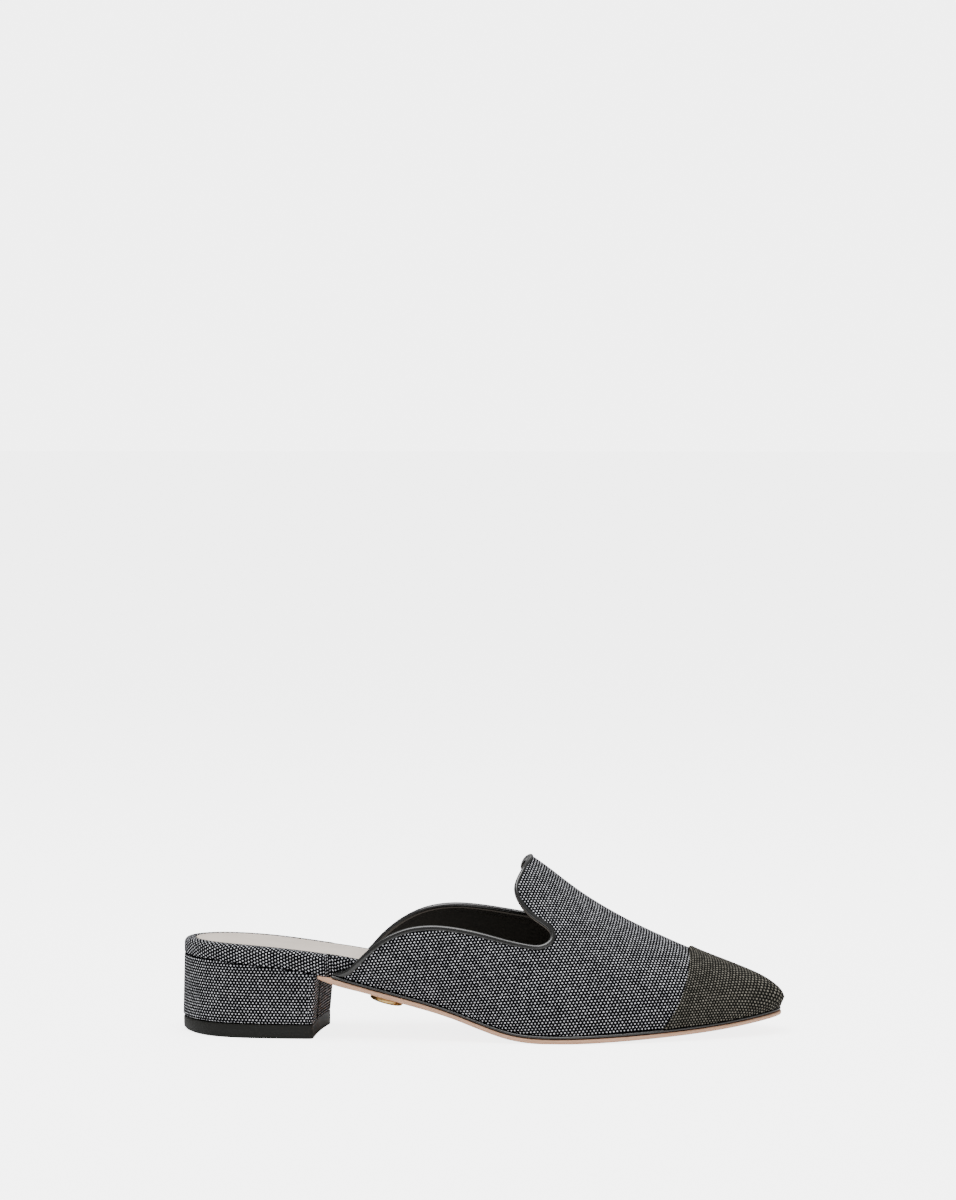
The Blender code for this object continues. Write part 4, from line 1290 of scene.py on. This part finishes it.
def rand_strip(skin, look):
    """The black strip round the feather, rounded on its outer side."""
    section = (
        ("inset", "height"),
        (RAND_INNER, 0.02),
        (0.0006, 0.00),
        (0.0002, 0.14),
        (0.0000, 0.38),
        (0.0000, 0.64),
        (0.0003, 0.88),
        (0.0008, 1.00),
        (RAND_INNER, 0.98),
    )
    starts = []
    for sign in (-1, 1):
        rib, reach = topline(skin, sign, 40)
        starts.append(skin.at(sign, rib[:1], reach[:1])[0, 0])
    outline = whole_outline()
    lines = []
    for distance, height in section[1:]:
        line, _ = paired_outline(inset(outline, distance + RAND_INSET * 0.5), starts, RING_POINTS)
        base = seam_height(line[:, 0]) + GAP
        lines.append(np.column_stack([line, base + RAND_HEIGHT * height]))
    grid = np.stack(lines, axis=1)
    over = np.append(lengths(grid[len(grid) // 4]), 0.006)
    return tube("rand_strip", grid, lengths(grid[:, 3]), over, look)


def footbed_cover(look):
    """The cloth wrapped round the footbed, drawn over its rim."""
    outline = whole_outline()
    steps = (
        ("inset", "height", "drop"),
        (0.0030, 0.0, 0.0000),
        (0.0002, 0.0, 0.0001),
        (0.0000, 0.0, -0.0002),
        (0.0000, 0.0, -0.0010),
        (0.0000, 0.35, -0.0002),
        (0.0000, 0.70, 0.0010),
        (0.0000, 1.0, 0.0029),
        (0.0001, 1.0, 0.0021),
        (0.0005, 1.0, 0.0012),
        (0.0012, 1.0, 0.0005),
        (0.0022, 1.0, 0.0001),
        (0.0036, 1.0, 0.0000),
        (0.0044, 1.0, 0.0003),
        (0.0046, 1.0, SOCK_SINK),
    )
    loops = []
    ties = None
    for distance, height, drop in steps[1:]:
        ring = inset(outline, rim_inset(outline[:, 0], distance))
        loop, ties = paired_outline(ring, None, RING_POINTS, FOOTBED_STEP)
        x = loop[:, 0]
        low = seam_height(x) + GAP
        z = low * (1.0 - height) + footbed_height(x, loop[:, 1]) * height - drop
        loops.append(np.column_stack([loop, z]))
    return ringed("footbed_cover", loops, ties, look, sharp=SHARP_ROUND)


def sock(look):
    """The pale sock laid in the footbed's sunk top, its cut edge a little rounded."""
    outline = whole_outline()
    base = inset(outline, rim_inset(outline[:, 0], SOCK_MARGIN))
    steps = (
        ("inset", "rise"),
        (0.0000, 0.00),
        (0.0000, 0.75),
        (0.00012, 0.95),
        (0.0004, 1.04),
        (0.0015, 1.14),
        (0.0035, 1.38),
        (0.0060, 1.66),
        (0.0090, 1.88),
        (0.0130, 2.00),
    )
    loops = []
    ties = None
    for distance, rise in steps[1:]:
        loop, ties = paired_outline(inset(base, distance), None, RING_POINTS, FOOTBED_STEP)
        z = footbed_height(loop[:, 0], loop[:, 1]) - SOCK_SINK + GAP + SOCK_WALL * rise
        loops.append(np.column_stack([loop, z]))
    return ringed("sock", loops, ties, look)


def heel_cover(look, settings):
    """The cloth over the heel block, closed by one seam down its breast."""
    levels = (
        ("share", "inset"),
        (0.0, 0.0030),
        (0.0, 0.0005),
        (0.006, 0.0001),
        (0.03, 0.0000),
        (0.20, 0.0000),
        (0.40, 0.0000),
        (0.60, 0.0000),
        (0.80, 0.0000),
        (0.965, 0.0000),
        (0.988, 0.0003),
        (1.0, 0.0010),
    )
    loops = []
    for share, distance in levels[1:]:
        loop = heel_loop(share, distance)
        gap = (loop[:, 1] - settings.seam_across) / settings.seam_width
        on_breast = loop[:, 0] > breast_line(loop[:, 1]) - 0.004
        loop[:, 0] -= settings.seam_depth * np.where(on_breast, np.exp(-gap * gap), 0.0)
        loops.append(loop)
    return heel_body("heel_cover", loops, look, True)


def seam_shadow_strip(look, settings):
    """A thin dark cord down the cover's seam, standing a little out of its groove; its dark colour is
    painted shadow for the shade in the groove.
    """
    out, half_width, count = 0.0007, 0.0006, 12
    y = settings.seam_across
    rings = []
    for share in np.linspace(0.02, 0.985, 40):
        loop = heel_loop(share, 0.0)
        breast = loop[loop[:, 0] > breast_line(loop[:, 1]) - 0.004]
        breast = breast[np.argsort(breast[:, 1])]
        x = np.interp(y, breast[:, 1], breast[:, 0]) - settings.seam_depth * 0.5
        z = np.interp(y, breast[:, 1], breast[:, 2])
        ring = []
        for k in range(count):
            angle = -2.0 * math.pi * k / count
            ring.append((x + out * math.cos(angle), y + half_width * math.sin(angle), z))
        rings.append(np.array(ring))
    ties = [(k, (count - k) % count) for k in range(count // 2 + 1)]
    return ringed("seam_shadow_strip", rings, ties, look, sharp=SHARP_ROUND)


def heel_foot(look):
    """The top lift: two edges softened and the back worn to a bevel."""
    levels = (
        ("inset", "height"),
        (0.0030, 1.000),
        (0.0008, 1.000),
        (0.0004, 0.970),
        (0.0002, 0.900),
        (0.0002, 0.500),
        (0.0003, 0.240),
        (0.0005, 0.060),
        (0.0010, 0.000),
        (0.0030, 0.000),
    )
    loops = []
    for distance, height in levels[1:]:
        loop = heel_loop(1.0, distance, TIP_HEIGHT * height)
        back = np.clip((0.022 - loop[:, 0]) / 0.020, 0.0, 1.0)
        low = np.clip((0.24 - height) / 0.24, 0.0, 1.0)
        loop[:, 0] += TIP_BEVEL * back * low ** 1.5
        loops.append(loop)
    return heel_body("heel_foot", loops, look)


def stud(look):
    """The metal stud under the waist, with plain turned rings."""
    profile = (
        ("radius", "depth"),
        (0.000, 0.00),
        (0.930, 0.00),
        (0.975, 0.03),
        (1.000, 0.10),
        (1.000, 0.66),
        (0.985, 0.82),
        (0.950, 0.94),
        (0.900, 1.00),
        (0.800, 1.00),
        (0.770, 0.97),
        (0.745, 0.84),
        (0.700, 0.80),
        (0.600, 0.80),
        (0.550, 0.84),
        (0.525, 0.97),
        (0.495, 1.00),
        (0.420, 1.02),
        (0.400, 0.98),
        (0.370, 0.98),
        (0.350, 1.03),
        (0.200, 1.05),
        (0.000, 1.06),
    )
    count = 72
    centre, turn = stud_seat()
    faces, corners, vertices = [], [], []
    rows = profile[1:]
    over = lengths(np.array(rows) * (STUD_RADIUS, STUD_DEPTH))
    for radius, depth in rows:
        reach = radius * STUD_RADIUS
        for k in range(count):
            angle = 2.0 * math.pi * k / count
            point = Vector((reach * math.cos(angle), reach * math.sin(angle), -depth * STUD_DEPTH))
            vertices.append(tuple(centre + turn @ point))
    for level in range(len(rows) - 1):
        for k in range(count):
            j = (k + 1) % count
            low, high = level * count, (level + 1) * count
            faces.append((low + k, low + j, high + j, high + k))
            a, b = k / count, (k + 1) / count
            near, far = over[level], over[level + 1]
            corners += [(a, near), (b, near), (b, far), (a, far)]
    return piece("stud", in_frame(np.array(vertices)), faces, corners, look, SHARP_CAP)


def stitch_tree(look):
    """Node tree that sews a row of stitches along a line of points with a facing each."""
    tree = bpy.data.node_groups.new("stitch_row", "GeometryNodeTree")
    tree.interface.new_socket(name="Line", in_out="INPUT", socket_type="NodeSocketGeometry")
    for name in ("Pitch", "Length", "Thread"):
        tree.interface.new_socket(name=name, in_out="INPUT", socket_type="NodeSocketFloat")
    tree.interface.new_socket(name="Stitches", in_out="OUTPUT", socket_type="NodeSocketGeometry")
    given = add(tree, "NodeGroupInput")
    curve = add(tree, "GeometryNodeMeshToCurve", None, {"Mesh": given})
    spaced = add(tree, "GeometryNodeResampleCurve", {"mode": "LENGTH"},
                 {"Curve": curve, "Length": given.out("Pitch")})
    facing = add(tree, "GeometryNodeInputNamedAttribute", {"data_type": "FLOAT_VECTOR"},
                 {"Name": "facing"})
    tangent = add(tree, "GeometryNodeInputTangent")
    turn = add(tree, "FunctionNodeAxesToRotation", {"primary_axis": "X", "secondary_axis": "Z"},
               {"Primary Axis": tangent, "Secondary Axis": facing})
    size = add(tree, "ShaderNodeCombineXYZ", None, {
        "X": given.out("Length"), "Y": given.out("Thread"), "Z": given.out("Thread") * 0.8})
    ball = add(tree, "GeometryNodeMeshUVSphere", None, {"Segments": 10, "Rings": 7, "Radius": 0.5})
    lying = add(tree, "GeometryNodeTransform", None,
                {"Geometry": ball, "Rotation": (0.0, math.pi / 2.0, 0.0)})
    thread = add(tree, "GeometryNodeTransform", None, {"Geometry": lying, "Scale": size})
    rows = add(tree, "GeometryNodeInstanceOnPoints", None,
               {"Points": spaced, "Instance": thread, "Rotation": turn})
    real = add(tree, "GeometryNodeRealizeInstances", None, {"Geometry": rows})
    soft = add(tree, "GeometryNodeSetShadeSmooth", None, {"Geometry": real})
    dressed = add(tree, "GeometryNodeSetMaterial", None, {"Geometry": soft, "Material": look})
    add(tree, "NodeGroupOutput", None, {"Stitches": dressed})
    return tree


def sewn(name, lines, tree, look, pitch, length, thread):
    """Sew stitches along lines of points, given with the way each point faces."""
    points = np.vstack([line for line, _ in lines])
    facings = np.vstack([facing for _, facing in lines])
    edges = []
    start = 0
    for line, _ in lines:
        edges += [(start + i, start + i + 1) for i in range(len(line) - 1)]
        start += len(line)
    mesh = bpy.data.meshes.new(name)
    mesh.from_pydata(in_frame(points).tolist(), edges, [])
    layer = mesh.attributes.new("facing", "FLOAT_VECTOR", "POINT")
    layer.data.foreach_set("vector", facings.astype(np.float32).ravel())
    line = bpy.data.objects.new(name + "_line", mesh)
    bpy.context.scene.collection.objects.link(line)
    modifier = line.modifiers.new("stitches", "NODES")
    modifier.node_group = tree
    sizes = {"Pitch": pitch, "Length": length, "Thread": thread}
    for item in tree.interface.items_tree:
        if item.item_type == "SOCKET" and item.name in sizes:
            modifier[item.identifier] = sizes[item.name]
    done = line.evaluated_get(bpy.context.evaluated_depsgraph_get())
    plain_mesh = bpy.data.meshes.new_from_object(done)
    line.modifiers.clear()
    bpy.data.objects.remove(line, do_unlink=True)
    made = bpy.data.objects.new(name, plain_mesh)
    plain_mesh.materials.clear()
    plain_mesh.materials.append(look)
    bpy.context.scene.collection.objects.link(made)
    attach(made, "root")
    return made


def seam_line(skin, sign, distance, offset, start, end):
    """A line run beside the topline on one side, with the way the surface faces."""
    rib, reach = skin.moved(sign, *topline(skin, sign, 900), distance)
    inside = np.nonzero(reach < 0.985)[0]
    inside = inside[int(len(inside) * start):int(len(inside) * end)]
    rib, reach = rib[inside], reach[inside]
    points = skin.at(sign, rib, reach)
    normals = skin.normals(sign, rib, reach)
    way = normals if offset > 0.0 else -normals
    return points + normals * offset, way


class ClothSettings(bpy.types.PropertyGroup):
    """The two-colour canvas of the upper, the footbed and the heel."""

    dot_pitch: FloatProperty(name="Dot pitch", description="Distance between pale yarns along a row",
                             default=0.00153, unit="LENGTH", precision=5)
    row_pitch: FloatProperty(name="Row pitch", description="Distance between rows of yarn",
                             default=0.00124, unit="LENGTH", precision=5)
    dot_width: FloatProperty(name="Dot width",
                             description="Width of a pale yarn's float, of half its pitch",
                             default=0.48, min=0.1, max=1.0)
    dot_height: FloatProperty(name="Dot height",
                              description="Height of a pale yarn's float, of half a row",
                              default=0.60, min=0.1, max=1.0)
    thickness: FloatProperty(name="Thickness", description="Thickness of the cloth and its backing",
                             default=0.0009, unit="LENGTH", precision=5)
    slope: FloatProperty(name="Slope", description="Fall of the rows towards the toe, in degrees",
                         default=-14.0)
    ground: FloatVectorProperty(name="Ground", description="Colour of the dark yarn", subtype="COLOR",
                                default=(0.0010, 0.0011, 0.0022))
    dot: FloatVectorProperty(name="Yarn", description="Colour of the pale yarn", subtype="COLOR",
                             default=(0.94, 0.95, 1.0))


class CapSettings(bpy.types.PropertyGroup):
    """The darker canvas of the toe cap."""

    dot_pitch: FloatProperty(name="Dot pitch", description="Distance between pale yarns along a row",
                             default=0.00153, unit="LENGTH", precision=5)
    row_pitch: FloatProperty(name="Row pitch", description="Distance between rows of yarn",
                             default=0.00124, unit="LENGTH", precision=5)
    dot_width: FloatProperty(name="Dot width", description="Width of a yarn's float, of half its pitch",
                             default=0.60, min=0.1, max=1.0)
    dot_height: FloatProperty(name="Dot height", description="Height of a yarn's float, of half a row",
                              default=0.75, min=0.1, max=1.0)
    cap_slope: FloatProperty(name="Slope", description="Fall of the rows towards the toe, in degrees",
                             default=-6.0)
    ground: FloatVectorProperty(name="Ground", description="Colour of the dark yarn", subtype="COLOR",
                                default=(0.0045, 0.0044, 0.0034))
    dot: FloatVectorProperty(name="Yarn", description="Colour of the olive yarn", subtype="COLOR",
                             default=(0.235, 0.220, 0.185))


class LeatherSettings(bpy.types.PropertyGroup):
    """Leathers of the binding, the lining, the rand and the sock, and the stitching."""

    binding: FloatVectorProperty(name="Binding", description="Colour of the bound edge", subtype="COLOR",
                                 default=(0.004, 0.004, 0.0034))
    lining: FloatVectorProperty(name="Lining", description="Colour of the lining", subtype="COLOR",
                                default=(0.0035, 0.0035, 0.0026))
    rand: FloatVectorProperty(name="Rand", description="Colour of the strip round the feather",
                              subtype="COLOR", default=(0.0035, 0.0035, 0.0030))
    sock: FloatVectorProperty(name="Sock", description="Colour of the sock", subtype="COLOR",
                              default=(0.80, 0.70, 0.61))
    # This colour also darkens the heel seam's cord, which is painted shadow for the seam's groove.
    thread: FloatVectorProperty(name="Thread", description="Colour of the stitching", subtype="COLOR",
                                default=(0.006, 0.006, 0.0055))
    stitch_pitch: FloatProperty(name="Stitch pitch", description="Distance from one stitch to the next",
                                default=0.0022, unit="LENGTH", precision=5)


class SoleSettings(bpy.types.PropertyGroup):
    """The leather outsole and the metal stud under its waist."""

    edge_pale: FloatVectorProperty(name="Pale", description="Pale fibres of the sole leather",
                                   subtype="COLOR", default=(0.80, 0.48, 0.30))
    edge_deep: FloatVectorProperty(name="Deep", description="Deep fibres of the sole leather",
                                   subtype="COLOR", default=(0.62, 0.35, 0.22))
    edge_rosy: FloatVectorProperty(name="Rosy", description="Rosy patches of the sole leather",
                                   subtype="COLOR", default=(0.74, 0.45, 0.34))
    metal: FloatVectorProperty(name="Metal", description="Colour of the stud", subtype="COLOR",
                               default=(0.83, 0.56, 0.22))


class HeelSettings(bpy.types.PropertyGroup):
    """The covered heel and its top lift."""

    seam_across: FloatProperty(name="Seam", description="Where the cover's seam lies across the breast",
                               default=-0.013, unit="LENGTH", precision=4)
    seam_width: FloatProperty(name="Seam width", description="Half the width of the cover's seam",
                              default=0.0009, unit="LENGTH", precision=5)
    seam_depth: FloatProperty(name="Seam depth", description="How deep the cover's seam is pressed in",
                              default=0.0006, unit="LENGTH", precision=5)
    tip: FloatVectorProperty(name="Top lift", description="Colour of the top lift", subtype="COLOR",
                             default=(0.0105, 0.0107, 0.0088))


class StageSettings(bpy.types.PropertyGroup):
    """The studio: floor, lights and camera."""

    floor: FloatVectorProperty(name="Floor", description="Colour of the floor", subtype="COLOR",
                               default=(0.95, 0.95, 0.95))
    sky: FloatProperty(name="Sky", description="Brightness of the even light all round", default=0.45,
                       min=0.0)
    backdrop: FloatProperty(name="Backdrop",
                            description="Brightness of the pale background", default=5.0,
                            min=0.0)
    floor_glow: FloatProperty(name="Floor glow",
                              description="How far the floor is lifted to the backdrop",
                              default=4.2, min=0.0)
    key: FloatProperty(name="Key", description="Power of the large light overhead", default=26.0,
                       unit="POWER")
    fill: FloatProperty(name="Fill", description="Power of the light beside the camera", default=1.7,
                        unit="POWER")
    azimuth: FloatProperty(name="Azimuth", description="Way the camera looks, in degrees", default=2.3)
    elevation: FloatProperty(name="Elevation",
                             description="Camera's height over the horizon, in degrees",
                             default=8.0)
    distance: FloatProperty(name="Distance", description="From the camera to the shoe", default=1.8,
                            unit="LENGTH")


class MuleSettings(bpy.types.PropertyGroup):
    """All settings of the shoe and its studio."""

    cloth: PointerProperty(type=ClothSettings)
    cap: PointerProperty(type=CapSettings)
    leather: PointerProperty(type=LeatherSettings)
    sole: PointerProperty(type=SoleSettings)
    heel: PointerProperty(type=HeelSettings)
    stage: PointerProperty(type=StageSettings)


class MULE_OT_stage(bpy.types.Operator):
    """Lay the floor, hang the lights and place the camera"""

    bl_idname = "mule.stage"
    bl_label = "Set the stage"

    def execute(self, context):
        look = context.scene.mule.stage
        mesh = bpy.data.meshes.new("floor")
        half = FLOOR_HALF
        corners = [(-half, -half, 0), (half, -half, 0), (half, half, 0), (-half, half, 0)]
        mesh.from_pydata(corners, [], [(0, 1, 2, 3)])
        mesh.materials.append(studio_floor("floor", tuple(look.floor), look.floor_glow))
        floor = bpy.data.objects.new("floor", mesh)
        context.scene.collection.objects.link(floor)
        world = bpy.data.worlds.new("studio")
        context.scene.world = world
        world.use_nodes = True
        tree = world.node_tree
        sky = tree.nodes["Background"]
        sky.inputs["Color"].default_value = (1.0, 1.0, 1.0, 1.0)
        seen = add(tree, "ShaderNodeLightPath")
        strength = look.sky + seen * (look.backdrop - look.sky)
        tree.links.new(strength.socket, sky.inputs["Strength"])
        aim = Vector((0.1, 0.0, 0.03))
        for name, place, size, power in (
                ("key", (0.0, -0.15, 1.40), 1.1, look.key),
                ("fill", (0.75, -1.2, 0.55), 0.8, look.fill),
                ("back", (0.30, 0.95, 0.95), 0.7, look.fill)):
            light = bpy.data.lights.new(name, "AREA")
            light.shape = "SQUARE"
            light.size = size
            light.energy = power
            lamp = bpy.data.objects.new(name, light)
            lamp.location = place
            lamp.rotation_euler = (aim - Vector(place)).to_track_quat("-Z", "Y").to_euler()
            context.scene.collection.objects.link(lamp)
        a, e = math.radians(look.azimuth), math.radians(look.elevation)
        back = Vector((math.sin(a) * math.cos(e), -math.cos(a) * math.cos(e), math.sin(e)))
        target = Vector((SHOE_LENGTH / 2.0 - ORIGIN_ALONG, -ORIGIN_ACROSS, AIM_HEIGHT))
        view = bpy.data.cameras.new("camera")
        view.sensor_width = FILM_WIDTH
        view.lens = look.distance / PICTURE_HEIGHT * view.sensor_width
        view.shift_x = SHIFT[0]
        view.shift_y = SHIFT[1]
        view.clip_start = 0.05
        camera = bpy.data.objects.new("camera", view)
        camera.location = target + back * look.distance
        camera.rotation_euler = (-back).to_track_quat("-Z", "Y").to_euler()
        context.scene.collection.objects.link(camera)
        context.scene.camera = camera
        return {"FINISHED"}


class MULE_OT_sole(bpy.types.Operator):
    """Cut the leather outsole and lay the rand on it"""

    bl_idname = "mule.sole"
    bl_label = "Lay the sole and rand"

    def execute(self, context):
        settings = context.scene.mule
        leather = sole_leather("sole_leather", settings.sole)
        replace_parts(sole(leather), "outsole")
        colour = settings.leather.rand
        black = grained_leather("rand_leather", colour, 0.25, 2600.0, 0.00004, shine=0.9)
        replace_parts(rand_strip(Skin(), black), "rand")
        return {"FINISHED"}


class MULE_OT_heel(bpy.types.Operator):
    """Cover the block heel and fix its top lift"""

    bl_idname = "mule.heel"
    bl_label = "Cover the heel"

    def execute(self, context):
        settings = context.scene.mule
        cloth = woven_cloth("heel_cloth", settings.cloth)
        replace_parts(heel_cover(cloth, settings.heel), "heel_block")
        # The dark cord down the breast's seam is painted shadow for the shade in the seam's groove.
        dark = grained_leather("seam_shadow_cord", settings.leather.thread, 0.7, 4000.0, 0.00005)
        seam_shadow_strip(dark, settings.heel)
        rubber = grained_leather("top_lift", settings.heel.tip, 0.58, 1800.0, 0.00010, 0.15)
        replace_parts(heel_foot(rubber), "heel_tip")
        return {"FINISHED"}


class MULE_OT_footbed(bpy.types.Operator):
    """Wrap the footbed in cloth and lay the sock in it"""

    bl_idname = "mule.footbed"
    bl_label = "Wrap the footbed"

    def execute(self, context):
        settings = context.scene.mule
        cloth = woven_cloth("footbed_cloth", settings.cloth, BAND_TURN)
        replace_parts(footbed_cover(cloth), "footbed")
        pale = grained_leather("sock_leather", settings.leather.sock, 0.5, 1500.0, 0.00010, 0.08)
        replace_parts(sock(pale), "sock_lining")
        return {"FINISHED"}


class MULE_OT_upper(bpy.types.Operator):
    """Last the woven upper over its lining"""

    bl_idname = "mule.upper"
    bl_label = "Last the upper"

    def execute(self, context):
        settings = context.scene.mule
        skin = Skin()
        cloth = woven_cloth("upper_canvas", settings.cloth)
        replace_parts(upper_cloth(skin, cloth, settings.cloth), "upper")
        black = grained_leather("lining_leather", settings.leather.lining, 0.5, 1600.0, 0.00012)
        upper_lining(skin, black, settings.cloth)
        return {"FINISHED"}


class MULE_OT_cap(bpy.types.Operator):
    """Lay the toe cap over the upper"""

    bl_idname = "mule.cap"
    bl_label = "Fit the toe cap"

    def execute(self, context):
        settings = context.scene.mule
        cloth = woven_cloth("cap_canvas", settings.cap)
        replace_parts(cap_cloth(Skin(), cloth, settings.cap), "toe_cap")
        return {"FINISHED"}


class MULE_OT_binding(bpy.types.Operator):
    """Bind the edge of the opening and sew it down"""

    bl_idname = "mule.binding"
    bl_label = "Bind the topline"

    def execute(self, context):
        settings = context.scene.mule
        skin = Skin()
        colour = settings.leather.binding
        black = grained_leather("binding_leather", colour, 0.22, 2400.0, 0.00005, shine=0.8)
        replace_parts(binding(skin, black), "topline_binding")
        thread = grained_leather("thread", settings.leather.thread, 0.6, 5000.0, 0.00004)
        tree = stitch_tree(thread)
        down = BINDING_WIDTH + STITCH_MARGIN
        lines = [seam_line(skin, sign, down, -UPPER_WALL - 0.00005, 0.0, 0.98) for sign in (-1, 1)]
        pitch = settings.leather.stitch_pitch
        row = sewn("lining_stitches", lines, tree, thread, pitch, pitch * STITCH_SHARE, THREAD_WIDTH)
        return {"FINISHED"}


class MULE_OT_stud(bpy.types.Operator):
    """Set the turned metal stud under the waist"""

    bl_idname = "mule.stud"
    bl_label = "Set the stud"

    def execute(self, context):
        gold = polished_gold("stud_metal", context.scene.mule.sole)
        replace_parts(stud(gold), "sole_stud")
        return {"FINISHED"}


class MULE_PT_pieces(bpy.types.Panel):
    """Sizes, colours and pieces of the shoe"""

    bl_idname = "MULE_PT_pieces"
    bl_label = "Cap-toe mule"
    bl_space_type = "VIEW_3D"
    bl_region_type = "UI"
    bl_category = "Mule"

    def draw(self, context):
        settings = context.scene.mule
        for part in type(settings).__annotations__:
            group = getattr(settings, part)
            box = self.layout.box()
            for name in type(group).__annotations__:
                box.prop(group, name)
        for operator in OPERATORS:
            self.layout.operator(operator.bl_idname)


OPERATORS = (MULE_OT_stage, MULE_OT_sole, MULE_OT_heel, MULE_OT_footbed, MULE_OT_upper, MULE_OT_cap,
             MULE_OT_binding, MULE_OT_stud)
GROUPS = (ClothSettings, CapSettings, LeatherSettings, SoleSettings, HeelSettings, StageSettings,
          MuleSettings)


def register():
    """Register the settings, the operators and the panel."""
    for item in GROUPS + OPERATORS + (MULE_PT_pieces,):
        bpy.utils.register_class(item)
    bpy.types.Scene.mule = PointerProperty(type=MuleSettings)


def unregister():
    """Take away what register added."""
    del bpy.types.Scene.mule
    for item in reversed(GROUPS + OPERATORS + (MULE_PT_pieces,)):
        bpy.utils.unregister_class(item)


def main():
    """Build every piece in order."""
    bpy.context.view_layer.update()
    register()
    bpy.ops.mule.stage()
    bpy.ops.mule.sole()
    bpy.ops.mule.heel()
    bpy.ops.mule.footbed()
    bpy.ops.mule.upper()
    bpy.ops.mule.cap()
    bpy.ops.mule.binding()
    bpy.ops.mule.stud()


if __name__ == "__main__":
    main()
